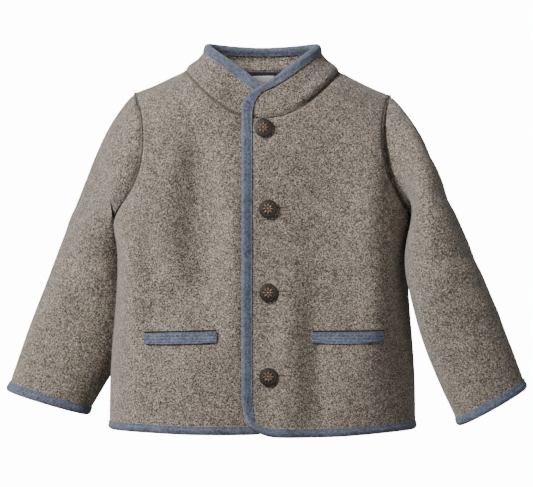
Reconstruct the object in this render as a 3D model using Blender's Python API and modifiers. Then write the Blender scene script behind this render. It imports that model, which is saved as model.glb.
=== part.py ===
# A child's boiled-wool jacket with a stand collar, bound in knitted tape, filled out as if worn.
# It is worked out in millimetres and made in metres. X runs to the picture's right, which is the wearer's
# left, the front faces -Y and Z is up. The origin is the middle of the neck, at the shoulders' height.

import math
from collections import namedtuple

import bpy
from mathutils import Vector
from mathutils.bvhtree import BVHTree

MM = 0.001

# Cloth and seams
WOOL = 3.0  # thickness of the boiled wool
TAPE = 1.0  # thickness of the binding tape
TAPE_REACH = 9.0  # how far the tape lies over the cloth
HEM_REACH = 7.2  # and how far along the hem
HEM_FROM = -365.0  # the tape narrows between these heights
HEM_TO = -382.0
LEG_GAP = 0.6  # between the cloth and the tape's long sides
COLLAR_LEG_GAP = 1.0  # the collar's curve needs more
COLLAR_EDGE_GAP = 0.9  # between the collar's edge and the tape's fold
TAPE_TURNS = (90.0, 30.0, -30.0, -90.0)  # the corners of the tape's fold round an edge
GAP = 0.3  # space left between two pieces
SIDE_TRIM = 0.5  # how far the hem's tape stops short of the side seam
SEAM_HALF = 0.2  # each half of the body stands this far from the side seams' plane

# The body's level sections, taken on the wool's outer face
SQUARENESS = 2.4  # 2 is an ellipse, and more is boxier
CHEST = -125.0  # above this height the body turns over to the shoulders
UNDERARM = -162.0
HEM_SIDE = -386.0
HEM_FRONT = {-1: -388.5, 1: -391.0}  # the upper front hangs a little lower
HEM_BACK = -386.0
CLOTH_TO_SHOULDER = 150.0  # length of cloth from the chest's level to the shoulder seam

Level = namedtuple("Level", "height half_width front_depth back_depth")
LEVELS = [
    Level(-395.0, 168.5, 72.0, 70.0),
    Level(-331.0, 167.5, 71.0, 70.0),
    Level(-298.0, 165.5, 70.0, 69.0),
    Level(-262.0, 162.5, 68.0, 68.0),
    Level(-225.0, 160.0, 66.0, 66.0),
    Level(-190.0, 159.0, 65.0, 64.0),
    Level(-162.0, 160.0, 64.0, 62.0),
    Level(-125.0, 162.0, 62.0, 60.0),
]

# The shoulder line, from the middle of the neck outwards
NECK_HALF = 84.0
SHOULDER_TIP = 141.0
Shoulder = namedtuple("Shoulder", "out height")
SHOULDERS = [
    Shoulder(0.0, 16.0),
    Shoulder(60.0, 12.0),
    Shoulder(84.0, 6.0),
    Shoulder(95.0, 0.5),
    Shoulder(105.0, -4.5),
    Shoulder(115.0, -9.5),
    Shoulder(125.0, -13.5),
    Shoulder(141.0, -19.0),
    Shoulder(170.0, -27.0),
]
FRONT_NECK_DROP = 53.0
BACK_NECK_RISE = 3.0

# The armholes, from the shoulder down to the underarm. The last point is the side seam's top.
Armhole = namedtuple("Armhole", "front_out back_out height")
ARMHOLE = [
    Armhole(141.0, 141.0, -19.0),
    Armhole(134.0, 137.0, -36.0),
    Armhole(130.5, 134.5, -54.0),
    Armhole(129.5, 133.5, -72.0),
    Armhole(130.5, 134.5, -90.0),
    Armhole(134.0, 138.0, -107.0),
    Armhole(140.0, 143.5, -124.0),
    Armhole(147.5, 149.5, -139.0),
    Armhole(154.5, 155.0, -152.0),
    Armhole(160.0, 160.0, UNDERARM),
]

# The fronts, which overlap
TOP_EDGE = -20.0  # where the upper front ends
UNDER_EDGE = 26.0  # where the lower front ends, out of sight
OVERLAP_DIP = 7.2  # how far the lower front lies behind the upper one's surface
DIP_FROM, DIP_TO = -62.0, -24.0
CORNER = 29.0  # radius of the fronts' lower corners

# Soft folds: a ridge is positive and a trough negative. Lean turns the fold's top to the picture's right.
Fold = namedtuple("Fold", "across height length width size lean")
FRONT_FOLDS = [
    Fold(-100.0, -190.0, 80.0, 26.0, -4.5, 14.0),
    Fold(-44.0, -200.0, 110.0, 20.0, 2.5, 2.0),
    Fold(-140.0, -300.0, 70.0, 18.0, -2.0, -6.0),
    Fold(24.0, -320.0, 70.0, 14.0, 1.8, 0.0),
    Fold(54.0, -310.0, 90.0, 14.0, -3.0, -2.0),
    Fold(108.0, -190.0, 90.0, 26.0, 3.0, -8.0),
    Fold(142.0, -290.0, 80.0, 16.0, -2.5, 6.0),
]
BACK_FOLDS = [
    Fold(-90.0, -200.0, 100.0, 24.0, -3.5, 10.0),
    Fold(-30.0, -260.0, 110.0, 22.0, 2.5, 2.0),
    Fold(30.0, -290.0, 90.0, 20.0, -2.5, -4.0),
    Fold(98.0, -210.0, 110.0, 24.0, -3.0, -9.0),
    Fold(140.0, -310.0, 70.0, 18.0, 2.0, 0.0),
]

FOLD_FADE_TURN = 0.25  # the folds fade out within this turn of the side seams, in radians
FOLD_TOP_FROM, FOLD_TOP_TO = -120.0, -60.0  # and between these heights
OVERLAP_FOLDS = 0.4  # the share of a fold that is left where the fronts overlap
OVERLAP_FADE = 30.0  # and the distance over which it comes back

# The sleeves, as rings from the armhole to the cuff. Outer and inner are the ring's far points from the
# front; middle is where the ring lies from front to back, and depth is half its size that way.
Ring = namedtuple("Ring", "outer_x outer_z inner_x inner_z middle depth")
Stop = namedtuple("Stop", ("step",) + Ring._fields)
SLEEVE_RIGHT = [
    Ring(-153.0, -32.0, -168.5, -152.5, 4.0, 47.0),
    Ring(-169.0, -56.0, -165.0, -167.0, 20.0, 47.0),
    Ring(-188.5, -94.0, -158.5, -190.0, 37.0, 45.0),
    Ring(-207.0, -138.0, -151.0, -218.0, 47.0, 43.0),
    Ring(-226.0, -183.0, -146.0, -246.0, 51.0, 42.0),
    Ring(-243.0, -229.0, -148.0, -276.0, 52.0, 39.0),
    Ring(-260.5, -274.0, -155.0, -307.0, 51.0, 36.0),
    Ring(-275.0, -315.0, -171.5, -336.0, 49.0, 33.0),
    Ring(-286.0, -347.5, -194.5, -374.5, 48.0, 31.0),
]
SLEEVE_LEFT = [
    Ring(151.5, -33.0, 168.5, -152.5, -5.0, 47.0),
    Ring(166.5, -58.0, 164.0, -167.0, -22.0, 47.0),
    Ring(184.5, -94.0, 157.5, -189.0, -39.0, 45.0),
    Ring(202.5, -138.0, 154.5, -212.0, -47.0, 43.0),
    Ring(222.0, -182.0, 157.0, -236.0, -51.0, 40.0),
    Ring(241.0, -226.0, 163.0, -262.0, -50.0, 38.0),
    Ring(258.0, -269.0, 171.5, -289.0, -48.0, 35.0),
    Ring(275.5, -312.0, 188.0, -331.0, -46.0, 33.0),
    Ring(285.0, -338.5, 211.5, -380.5, -44.0, 31.0),
]
SLEEVE_BLEND = 3.0  # rings over which the sleeve's shape changes from the armhole's to the table's
SLEEVE_SPACING = 1.15  # above 1 the rings lie closer together near the armhole
SLEEVE_BACK_STEP = 0.35  # the first rings are read this far back up the table
UNDERARM_FREE = 0.85  # the share of that blend left out at the underarm
UNDERARM_FROM, UNDERARM_TO = -152.0, -110.0  # heights between which it is left out

# A sleeve's folds: along is 0 at the armhole and 1 at the cuff, and around is in degrees, with 0 at the
# outer side and 90 at the front.
SleeveFold = namedtuple("SleeveFold", "along around length width size twist")
SLEEVE_FOLDS = [
    SleeveFold(0.16, 78.0, 0.16, 16.0, -4.0, 40.0),
    SleeveFold(0.45, 120.0, 0.22, 20.0, -3.0, 60.0),
    SleeveFold(0.62, 50.0, 0.20, 22.0, 2.0, -40.0),
    SleeveFold(0.74, 100.0, 0.16, 16.0, -2.0, 50.0),
    SleeveFold(0.30, 250.0, 0.22, 20.0, -3.5, -50.0),
    SleeveFold(0.62, 280.0, 0.20, 20.0, -2.5, 50.0),
]

# The collar's free edge, by the angle round the neck from the front's middle to the back's
COLLAR_TOP_HALF = 60.0
COLLAR_FRONT = -42.0
COLLAR_BACK = 21.0
COLLAR_BULGE = 3.0
COLLAR_DIP = 1.1  # the under collar lies this much farther in than its front
COLLAR_END = 23.0  # the angle from the front edge to the middle of the collar's round corner
COLLAR_END_PULL = (0.0, 0.22)  # how far the front end has turned towards that corner, row by row
CollarTop = namedtuple("CollarTop", "angle height")
COLLAR_TOP = [
    CollarTop(-25.0, -24.0),
    CollarTop(0.0, -14.0),
    CollarTop(12.0, -8.0),
    CollarTop(33.0, 7.5),
    CollarTop(54.0, 20.5),
    CollarTop(72.0, 28.0),
    CollarTop(90.0, 31.5),
    CollarTop(115.0, 32.0),
    CollarTop(145.0, 30.5),
    CollarTop(180.0, 29.0),
]

IN_FRONT = -300.0  # a depth well in front of the jacket, from which its face is met

# Pocket welts
WELT_THICK = 1.6
WELT_LIFT = 0.5
WELT_CELLS = 8
WELT_BOW = 1.2
Welt = namedtuple("Welt", "name near far near_top far_top height")
WELTS = [
    Welt("pocket_welt_right", -49.0, -127.0, -279.5, -282.0, 11.5),
    Welt("pocket_welt_left", 53.0, 131.0, -280.5, -279.5, 11.5),
]

# Buttons
BUTTON_STEPS = 20
BUTTON_LIFT = 1.2
Button = namedtuple("Button", "name across height")
BUTTONS = [
    Button("button_1", 1.1, -60.6),
    Button("button_2", 6.3, -148.0),
    Button("button_3", 6.4, -238.0),
    Button("button_4", 6.7, -327.8),
]
# A button's turned section, from the shank's foot round the disc to the middle of its face
ButtonPoint = namedtuple("ButtonPoint", "radius height")
BUTTON_SECTION = [
    ButtonPoint(0.0, 0.0),
    ButtonPoint(1.8, 0.0),
    ButtonPoint(1.8, 1.0),
    ButtonPoint(8.6, 1.2),
    ButtonPoint(10.0, 2.2),
    ButtonPoint(9.8, 3.4),
    ButtonPoint(8.8, 3.9),
    ButtonPoint(8.0, 3.2),
    ButtonPoint(4.5, 3.7),
    ButtonPoint(0.0, 4.0),
]

# Inside the neck
Strip = namedtuple("Strip", "name left right top bottom columns rows lift")
INNER_STRIPS = [
    Strip("neck_tape", -70.0, 70.0, 0.8, 4.8, 12, 1, 0.3),
    Strip("label", -15.0, 13.0, 5.8, 21.0, 4, 2, 0.6),
]

# Cells of the panels
BODY_ROWS = 11  # from the hem to the underarm
EDGE_ROWS = 4  # up the front edge from the underarm's level to the neck
NECK_ROWS = 7  # along the front neck seam
ARM_ROWS = EDGE_ROWS + NECK_ROWS  # from the underarm to the shoulder
FRONT_COLUMNS = 11
BACK_NECK_COLUMNS = 6  # from the shoulder to the back's middle
SHOULDER_COLUMNS = 4
COLLAR_ROWS = 3
SLEEVE_ROWS = 15

WOOL_COLOUR = (0.21, 0.18, 0.155)
TAPE_COLOUR = (0.10, 0.13, 0.19)
METAL_COLOUR = (0.10, 0.085, 0.075)
LABEL_COLOUR = (0.75, 0.75, 0.73)

FRONT, BACK = -1.0, 1.0


# Small helpers


def smooth(a, b, value):
    t = min(max((value - a) / (b - a), 0.0), 1.0)
    return t * t * (3.0 - 2.0 * t)


def read_table(rows, key, column, value):
    """A smooth curve through a table's column, read at a value of its key column."""
    keys = [getattr(row, key) for row in rows]
    values = [getattr(row, column) for row in rows]
    value = min(max(value, keys[0]), keys[-1])
    i = max(k for k in range(len(keys) - 1) if keys[k] <= value or k == 0)
    t = (value - keys[i]) / (keys[i + 1] - keys[i])

    def slope(k):
        low, high = max(k - 1, 0), min(k + 1, len(keys) - 1)
        return (values[high] - values[low]) / (keys[high] - keys[low])

    span = keys[i + 1] - keys[i]
    a, b = values[i], values[i + 1]
    p, q = slope(i) * span, slope(i + 1) * span
    return a + t * (p + t * (3 * (b - a) - 2 * p - q + t * (2 * (a - b) + p + q)))


def along(points, count):
    """The same line cut into count equal steps."""
    lengths = [0.0]
    for a, b in zip(points, points[1:]):
        lengths.append(lengths[-1] + (b - a).length)
    cut = []
    k = 0
    for step in range(count + 1):
        goal = lengths[-1] * step / count
        while k < len(points) - 2 and lengths[k + 1] < goal:
            k += 1
        t = (goal - lengths[k]) / (lengths[k + 1] - lengths[k])
        cut.append(points[k].lerp(points[k + 1], t))
    return cut


def patch(bottom, top, left, right):
    """Points spread between four edges. Rows run from bottom to top."""
    columns, rows = len(bottom) - 1, len(left) - 1
    grid = []
    for j in range(rows + 1):
        v = j / rows
        row = []
        for i in range(columns + 1):
            u = i / columns
            sides = left[j] * (1 - u) + right[j] * u
            ends = bottom[i] * (1 - v) + top[i] * v
            corners = (bottom[0] * (1 - u) + bottom[-1] * u) * (1 - v) + (top[0] * (1 - u) + top[-1] * u) * v
            row.append(sides + ends - corners)
        grid.append(row)
    return grid


# The body's surface. A place on it is (turn, climb): turn is the angle round the body from the middle
# to the side, and climb is the height up to the chest and the length of cloth above it.


def shoulder_height(x):
    return read_table(SHOULDERS, "out", "height", abs(x)) - 0.01 * x


def half_width(z):
    return read_table(LEVELS, "height", "half_width", z) - WOOL


def body_point(turn, climb, side):
    z = min(climb, CHEST)
    width = half_width(z)
    depth = read_table(LEVELS, "height", "front_depth" if side == FRONT else "back_depth", z) - WOOL
    x = width * math.copysign(abs(math.sin(turn)) ** (2 / SQUARENESS), math.sin(turn))
    y = depth * abs(math.cos(turn)) ** (2 / SQUARENESS)
    if climb > CHEST:
        lean = math.pi / 2 * (climb - CHEST) / CLOTH_TO_SHOULDER
        z = CHEST + (shoulder_height(x) - WOOL - CHEST) * math.sin(lean)
        y *= max(math.cos(lean), 0.0)
    return Vector((x, side * (y + SEAM_HALF), z))


def place(x, z):
    """The place on the body's surface that shows at x and z from the front."""
    width = half_width(min(z, CHEST))
    share = min(abs(x) / width, 1.0)
    turn = math.copysign(math.asin(share ** (SQUARENESS / 2)), x)
    if z <= CHEST:
        return Vector((turn, z))
    rise = min((z - CHEST) / (shoulder_height(x) - WOOL - CHEST), 1.0)
    return Vector((turn, CHEST + CLOTH_TO_SHOULDER * math.asin(rise) / (math.pi / 2)))


def body_normal(turn, climb, side):
    step_turn, step_climb = 0.02, 1.5
    highest = CHEST + CLOTH_TO_SHOULDER - step_climb
    climb = min(climb, highest)
    turn = math.copysign(min(abs(turn), math.pi / 2 - step_turn), turn)
    across = body_point(turn + step_turn, climb, side) - body_point(turn - step_turn, climb, side)
    up = body_point(turn, climb + step_climb, side) - body_point(turn, climb - step_climb, side)
    return (across.cross(up) * -side).normalized()


def fold_height(point, folds):
    """How far the folds raise the cloth, fading out at the shoulders and at the seams' top."""
    total = 0.0
    for fold in folds:
        angle = math.radians(fold.lean)
        dx, dz = point.x - fold.across, point.z - fold.height
        down = dz * math.cos(angle) + dx * math.sin(angle)
        over = dx * math.cos(angle) - dz * math.sin(angle)
        total += fold.size * math.exp(-((over / fold.width) ** 2) - (down / fold.length) ** 2)
    return total * (1 - smooth(FOLD_TOP_FROM, FOLD_TOP_TO, point.z))


def overlap_dip(x):
    return OVERLAP_DIP * smooth(DIP_FROM, DIP_TO, x)


def cloth_point(spot, side, under=False):
    """A point of the wool's inner face, with its folds."""
    point = body_point(spot.x, spot.y, side)
    normal = body_normal(spot.x, spot.y, side)
    edge = smooth(0.0, FOLD_FADE_TURN, math.pi / 2 - abs(spot.x))
    raised = fold_height(point, FRONT_FOLDS if side == FRONT else BACK_FOLDS) * edge
    if side == FRONT:
        beside_overlap = smooth(UNDER_EDGE, UNDER_EDGE + OVERLAP_FADE, abs(point.x))
        raised *= OVERLAP_FOLDS + (1 - OVERLAP_FOLDS) * beside_overlap
    if under:
        raised -= overlap_dip(point.x)
    return point + normal * raised


# Lines of the pattern


def front_neck(x):
    return 6.0 - WOOL - FRONT_NECK_DROP * (1 - (abs(x) / NECK_HALF) ** 2.1)


def back_neck(x):
    return 6.0 - WOOL + BACK_NECK_RISE * (1 - (x / NECK_HALF) ** 2)


def armhole_line(mirror, column):
    """From the underarm up to the shoulder, as places on the body's surface."""
    line = []
    steps = 40
    rows = sorted(ARMHOLE, key=lambda row: row.height)
    for k in range(steps + 1):
        z = UNDERARM + (ARMHOLE[0].height - UNDERARM) * (k / steps) ** 1.5
        x = read_table(rows, "height", column, z)
        if k == 0:
            line.append(Vector((mirror * math.pi / 2, UNDERARM)))
        elif k == steps:
            line.append(place(mirror * SHOULDER_TIP, 40.0))
        else:
            line.append(place(mirror * x, z))
    return line


def real(line, side):
    return [body_point(spot.x, spot.y, side) for spot in line]


def even(line, side, count):
    """Places along a pattern line, spaced evenly over the cloth."""
    lengths = [0.0]
    points = real(line, side)
    for a, b in zip(points, points[1:]):
        lengths.append(lengths[-1] + (b - a).length)
    cut = []
    k = 0
    for step in range(count + 1):
        goal = lengths[-1] * step / count
        while k < len(line) - 2 and lengths[k + 1] < goal:
            k += 1
        t = (goal - lengths[k]) / max(lengths[k + 1] - lengths[k], 1e-9)
        cut.append(line[k].lerp(line[k + 1], t))
    return cut


def flat_line(x1, z1, x2, z2, steps=24):
    """A straight line seen from the front, as places on the body's surface."""
    return [place(x1 + (x2 - x1) * k / steps, z1 + (z2 - z1) * k / steps) for k in range(steps + 1)]


def hem_height(x, middle):
    return middle + (HEM_SIDE - middle) * smooth(60.0, 165.0, abs(x))


def side_line(mirror):
    count = BODY_ROWS
    return [Vector((mirror * math.pi / 2, HEM_SIDE + (UNDERARM - HEM_SIDE) * k / count)) for k in range(count + 1)]


def hem_places(x1, x2, side, middle, steps=60):
    """Places along the hem between two sides of the body, as turns spaced evenly."""
    turn1 = place(x1, HEM_SIDE).x
    turn2 = place(x2, HEM_SIDE).x
    line = []
    for k in range(steps + 1):
        turn = turn1 + (turn2 - turn1) * k / steps
        x = body_point(turn, HEM_SIDE, side).x
        line.append(Vector((turn, hem_height(x, middle))))
    return line


def front_lines(mirror, edge):
    """The four edges of a front, which starts at x = edge and ends at its side seam."""
    corner_x = edge + mirror * CORNER
    corner_z = HEM_FRONT[mirror] + CORNER
    half = [math.radians(45.0 * k / 6) for k in range(7)]
    up_arc = [place(corner_x - mirror * CORNER * math.cos(a), corner_z - CORNER * math.sin(a)) for a in half]
    low_arc = [place(corner_x - mirror * CORNER * math.sin(a), corner_z - CORNER * math.cos(a)) for a in half]
    hem = hem_places(corner_x, mirror * 400.0, FRONT, HEM_FRONT[mirror])
    bottom = low_arc[::-1] + hem[1:]
    edge_low = flat_line(edge, corner_z, edge, UNDERARM)
    left = even(up_arc[::-1] + edge_low[1:], FRONT, BODY_ROWS)
    left += even(flat_line(edge, UNDERARM, edge, front_neck(edge)), FRONT, EDGE_ROWS)[1:]
    steps = 24
    neck = []
    for k in range(steps + 1):
        x = edge + (mirror * NECK_HALF - edge) * k / steps
        neck.append(place(x, front_neck(x) if k < steps else 40.0))
    left += even(neck, FRONT, NECK_ROWS)[1:]
    right = side_line(mirror) + even(armhole_line(mirror, "front_out"), FRONT, ARM_ROWS)[1:]
    top = [place(mirror * (NECK_HALF + (SHOULDER_TIP - NECK_HALF) * k / 12), 40.0) for k in range(13)]
    top = even(top, FRONT, FRONT_COLUMNS)
    low = even(bottom, FRONT, FRONT_COLUMNS)
    return low, top, left, right


def back_lines():
    columns = 2 * (BACK_NECK_COLUMNS + SHOULDER_COLUMNS)
    bottom = even(hem_places(-400.0, 400.0, BACK, HEM_BACK), BACK, columns)
    sides = [side_line(m) + even(armhole_line(m, "back_out"), BACK, ARM_ROWS)[1:] for m in (-1, 1)]
    shoulder = [place(NECK_HALF + (SHOULDER_TIP - NECK_HALF) * k / 8, 40.0) for k in range(9)]
    shoulder = even(shoulder, BACK, SHOULDER_COLUMNS)
    mirrored = [Vector((-spot.x, spot.y)) for spot in reversed(shoulder)]
    steps = 32
    neck = []
    for k in range(steps + 1):
        x = NECK_HALF * (2 * k / steps - 1)
        neck.append(place(x, back_neck(x) if 0 < k < steps else 40.0))
    neck = even(neck, BACK, 2 * BACK_NECK_COLUMNS)
    return bottom, mirrored[:-1] + neck + shoulder[1:], sides[0], sides[1]


# Making the objects


def material(name, colour, roughness, metallic=0.0):
    made = bpy.data.materials.new(name)
    made.use_nodes = True
    shader = made.node_tree.nodes["Principled BSDF"]
    shader.inputs["Base Color"].default_value = (*colour, 1.0)
    shader.inputs["Roughness"].default_value = roughness
    shader.inputs["Metallic"].default_value = metallic
    return made


def sheet(name, grid, colour, thick, closed=False, flip=False):
    """A cloth of even thickness on a grid of points, thickened to the side that the grid faces."""
    rows, columns = len(grid), len(grid[0])
    points = [point * MM for row in grid for point in row]
    faces = []
    for j in range(rows - 1):
        for i in range(columns if closed else columns - 1):
            k = (i + 1) % columns
            face = (j * columns + i, j * columns + k, (j + 1) * columns + k, (j + 1) * columns + i)
            faces.append(face[::-1] if flip else face)
    mesh = bpy.data.meshes.new(name)
    mesh.from_pydata(points, [], faces)
    mesh.materials.append(colour)
    made = bpy.data.objects.new(name, mesh)
    jacket.objects.link(made)
    wall = made.modifiers.new("wall", "SOLIDIFY")
    wall.thickness = thick * MM
    wall.offset = 1.0
    wall.use_quality_normals = True
    return made


def solid_tree(made):
    """The made cloth as a tree of faces to search, in millimetres."""
    scene = bpy.context.evaluated_depsgraph_get()
    whole = made.evaluated_get(scene)
    mesh = whole.to_mesh()
    mesh.calc_loop_triangles()
    corners = [v.co / MM for v in mesh.vertices]
    tree = BVHTree.FromPolygons(corners, [tuple(t.vertices) for t in mesh.loop_triangles])
    whole.to_mesh_clear()
    return tree


def bind(name, panel, grid, places, beside, closed=False, trim=(0.0, 0.0), edge_gap=GAP, leg_gap=LEG_GAP):
    """Tape folded round a cloth's edge.

    Places are the edge's cells in the cloth's grid, and beside holds the next cells in. Trim shortens the
    tape at its two ends.
    """
    columns = len(grid[0])
    edge = [grid[j][i] for j, i in places]
    inner = [grid[j][i] for j, i in beside]
    normals = [panel.data.vertices[j * columns + i].normal.copy() for j, i in places]
    inner_normals = [panel.data.vertices[j * columns + i].normal.copy() for j, i in beside]
    count = len(edge)
    moved = [point.copy() for point in edge]
    for at, step, length in ((0, 1, trim[0]), (-1, -2, trim[1])):
        if not closed:
            moved[at] += (edge[step] - edge[at]).normalized() * length
    strip = []
    for k, point in enumerate(moved):
        after = edge[(k + 1) % count] if closed else edge[min(k + 1, count - 1)]
        before = edge[k - 1] if closed or k else edge[0]
        run = (after - before).normalized()
        normal = (normals[k] - run * normals[k].dot(run)).normalized()
        into = normal.cross(run)
        into = into if into.dot(inner[k] - edge[k]) > 0 else -into
        middle = point + normal * (WOOL / 2)
        ring = []
        for turn in TAPE_TURNS:
            angle = math.radians(turn)
            ring.append(middle + (normal * math.sin(angle) - into * math.cos(angle)) * (WOOL / 2 + edge_gap))
        step = inner[k] - edge[k]
        reach = HEM_REACH + (TAPE_REACH - HEM_REACH) * smooth(HEM_TO, HEM_FROM, point.z)
        share = min(reach / max(step.dot(into), 1.0), 0.9)
        facing = normals[k].lerp(inner_normals[k], share).normalized()
        for sign, depth in ((1.0, WOOL), (-1.0, 0.0)):
            start = point + normals[k] * depth
            end = start.lerp(inner[k] + (point - edge[k]) + inner_normals[k] * depth, share)
            ring.insert(0 if sign > 0 else len(ring), end + facing * sign * leg_gap)
        strip.append(ring)
    if closed:
        strip = [[ring[k] for ring in strip] for k in range(len(strip[0]))]
    outward = normals[0]
    face = (strip[0][1] - strip[0][0]).cross(strip[1][0] - strip[0][0])
    return sheet(name, strip, tape, TAPE, closed=closed, flip=face.dot(outward) < 0)


for thing in list(bpy.data.objects):
    bpy.data.objects.remove(thing)
jacket = bpy.data.collections.new("wool_jacket")
bpy.context.scene.collection.children.link(jacket)

wool = material("boiled_wool", WOOL_COLOUR, 0.95)
tape = material("binding_tape", TAPE_COLOUR, 0.85)
metal = material("antique_metal", METAL_COLOUR, 0.45, 1.0)
label_cloth = material("label_cloth", LABEL_COLOUR, 0.7)

# Body


def panel_points(lines, side, under=False):
    return [[cloth_point(spot, side, under) for spot in row] for row in patch(*lines)]


front_right_points = panel_points(front_lines(-1, UNDER_EDGE), FRONT, under=True)
front_left_points = panel_points(front_lines(1, TOP_EDGE), FRONT)
back_points = panel_points(back_lines(), BACK)
front_right = sheet("front_right", front_right_points, wool, WOOL, flip=True)
front_left = sheet("front_left", front_left_points, wool, WOOL)
back = sheet("back", back_points, wool, WOOL, flip=True)

# Seams between pieces

BODY_MIDDLE = Vector((0.0, 0.0, -120.0))
SLEEVE_CLEAR = 0.6
UNDERARM_CLEAR = 1.5  # added where the sleeve turns down beside the body
SEAM_LOW_FROM, SEAM_LOW_TO = -135.0, -100.0  # the heights between which it is added
COLLAR_CLEAR = 0.9


def beyond_seam(seam, inside, ahead, clear, closed=False):
    """The seam's points moved off the first cloth's edge, so that the next cloth's edge meets it face to face.

    Inside holds the first cloth's points beside the seam, and ahead the points that the next cloth runs to.
    """
    count = len(seam)
    moved = []
    for k, point in enumerate(seam):
        after = seam[(k + 1) % count] if closed else seam[min(k + 1, count - 1)]
        before = seam[k - 1] if closed or k else seam[0]
        run = (after - before).normalized()
        onward = point - inside[k]
        onward = (onward - run * onward.dot(run)).normalized()
        outward = run.cross(onward)
        outward = outward if outward.dot(point - BODY_MIDDLE) > 0 else -outward
        heading = ahead[k] - point
        heading = (heading - run * heading.dot(run)).normalized()
        rise = max(heading.dot(outward), 0.0)
        back_turn = max(-heading.dot(onward), 0.0)
        over = rise + (1 + back_turn) * back_turn / max(rise, 0.5)
        low = 1 - smooth(SEAM_LOW_FROM, SEAM_LOW_TO, point.z)
        moved.append(point + onward * (clear + UNDERARM_CLEAR * low + WOOL * over))
    return moved


# Sleeves


def armhole_loop(front, rear):
    """The armhole's points and the ones beside them: down the front from the shoulder and up the back."""
    outer = -1
    top = BODY_ROWS + ARM_ROWS
    down = range(top, BODY_ROWS - 1, -1)
    up = range(BODY_ROWS + 1, top)
    rear_outer = -1 if rear[BODY_ROWS][-1].x * front[BODY_ROWS][-1].x > 0 else 0
    rear_next = -2 if rear_outer else 1
    seam = [front[j][outer] for j in down] + [rear[j][rear_outer] for j in up]
    inside = [front[j][outer - 1] for j in down] + [rear[j][rear_next] for j in up]
    corner = BODY_ROWS
    inside[0] = front[top - 1][outer] + (front[top][outer - 1] - front[top][outer])
    inside[top - corner] = front[corner - 1][outer]
    return seam, inside


def ring_point(ring, turn):
    """A point of a flat ring, by the angle from its outer side round to the front."""
    middle = Vector(((ring.outer_x + ring.inner_x) / 2, ring.middle, (ring.outer_z + ring.inner_z) / 2))
    out = Vector((ring.outer_x, ring.middle, ring.outer_z)) - middle
    out = out * (1 - WOOL / out.length)
    return middle + out * math.cos(turn) + Vector((0, -(ring.depth - WOOL), 0)) * math.sin(turn)


def ring_between(rings, step):
    """A ring read between the table's rows, where step 0 is the first row."""
    stops = [Stop(k, *ring) for k, ring in enumerate(rings)]
    return Ring(*(read_table(stops, "step", field, step) for field in Ring._fields))


def sleeve_points(rings, front, rear):
    seam, inside = armhole_loop(front, rear)
    count = len(seam)
    turns = [2 * math.pi * k / count for k in range(count)]
    last = len(rings) - 1
    first = [ring_point(rings[0], turn) for turn in turns]

    def line(row, start):
        share = row / SLEEVE_ROWS
        step = max(last * share**SLEEVE_SPACING - SLEEVE_BACK_STEP * (1 - share), 0.0)
        ring = ring_between(rings, step)
        hold = max(1 - row / SLEEVE_BLEND, 0.0) ** 1.5
        points = []
        for k, turn in enumerate(turns):
            low = 1 - smooth(UNDERARM_FROM, UNDERARM_TO, seam[k].z)
            share_held = hold * (1 - UNDERARM_FREE * low)
            points.append(ring_point(ring, turn) + (start[k] - first[k]) * share_held)
        return points

    start = beyond_seam(seam, inside, line(1, seam), SLEEVE_CLEAR, closed=True)
    return fold_sleeve([start] + [line(row, start) for row in range(1, SLEEVE_ROWS + 1)])


def fold_sleeve(grid):
    last = len(grid) - 1
    folded = [grid[0]]
    for j in range(1, last + 1):
        middle = sum(grid[j], Vector()) / len(grid[j])
        share = j / last
        line = []
        for k, point in enumerate(grid[j]):
            around = 360.0 * k / len(grid[j])
            raised = 0.0
            for fold in SLEEVE_FOLDS:
                off = (share - fold.along) / fold.length
                turned = (around - fold.around - fold.twist * off + 180.0) % 360.0 - 180.0
                raised += fold.size * math.exp(-(off**2) - (turned / fold.width) ** 2)
            raised *= smooth(0.0, 0.12, share) * (1 - smooth(0.9, 1.0, share))
            line.append(point + (point - middle).normalized() * raised)
        folded.append(line)
    return folded


sleeve_right_points = sleeve_points(SLEEVE_RIGHT, front_right_points, back_points)
sleeve_left_points = sleeve_points(SLEEVE_LEFT, front_left_points, back_points)
sleeve_right = sheet("sleeve_right", sleeve_right_points, wool, WOOL, closed=True, flip=True)
sleeve_left = sheet("sleeve_left", sleeve_left_points, wool, WOOL, closed=True)

# Collar


def collar_top(angle):
    """The collar's free edge on its inner face, by the angle from the front's middle."""
    turn = math.radians(angle)
    depth = COLLAR_FRONT if math.cos(turn) > 0 else -COLLAR_BACK
    height = read_table(COLLAR_TOP, "angle", "height", angle)
    return Vector((COLLAR_TOP_HALF * math.sin(turn), depth * math.cos(turn), height))


def neck_seam(front, mirror):
    """The neck seam's points from the front edge to the back's middle, and the points beside them."""
    low = BODY_ROWS + EDGE_ROWS
    high = BODY_ROWS + ARM_ROWS
    seam = [front[j][0] for j in range(low, high + 1)]
    inside = [front[j][1] for j in range(low, high + 1)]
    inside[0] = front[low - 1][0]
    middle = BACK_NECK_COLUMNS + SHOULDER_COLUMNS
    for k in range(1, BACK_NECK_COLUMNS + 1):
        i = middle + mirror * (BACK_NECK_COLUMNS - k)
        seam.append(back_points[-1][i])
        inside.append(back_points[-2][i])
    return seam, inside


def collar_points(mirror, edge, front, under):
    """A half of the collar, from its front end round to the back's middle."""
    seam, inside = neck_seam(front, mirror)
    columns = len(seam) - 1
    first_angle = math.degrees(math.asin(edge / COLLAR_TOP_HALF)) * mirror + COLLAR_END
    steps = 96
    top = []
    for k in range(steps + 1):
        point = collar_top(first_angle + (180.0 - first_angle) * k / steps)
        top.append(Vector((point.x * mirror, point.y, point.z)))
    top = along(top, columns)
    top[-1].x = mirror * GAP / 2
    first = shape_collar(beyond_seam(seam, inside, top, COLLAR_CLEAR), top, mirror, under)
    return shape_collar(beyond_seam(seam, inside, first[1], COLLAR_CLEAR), top, mirror, under)


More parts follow.
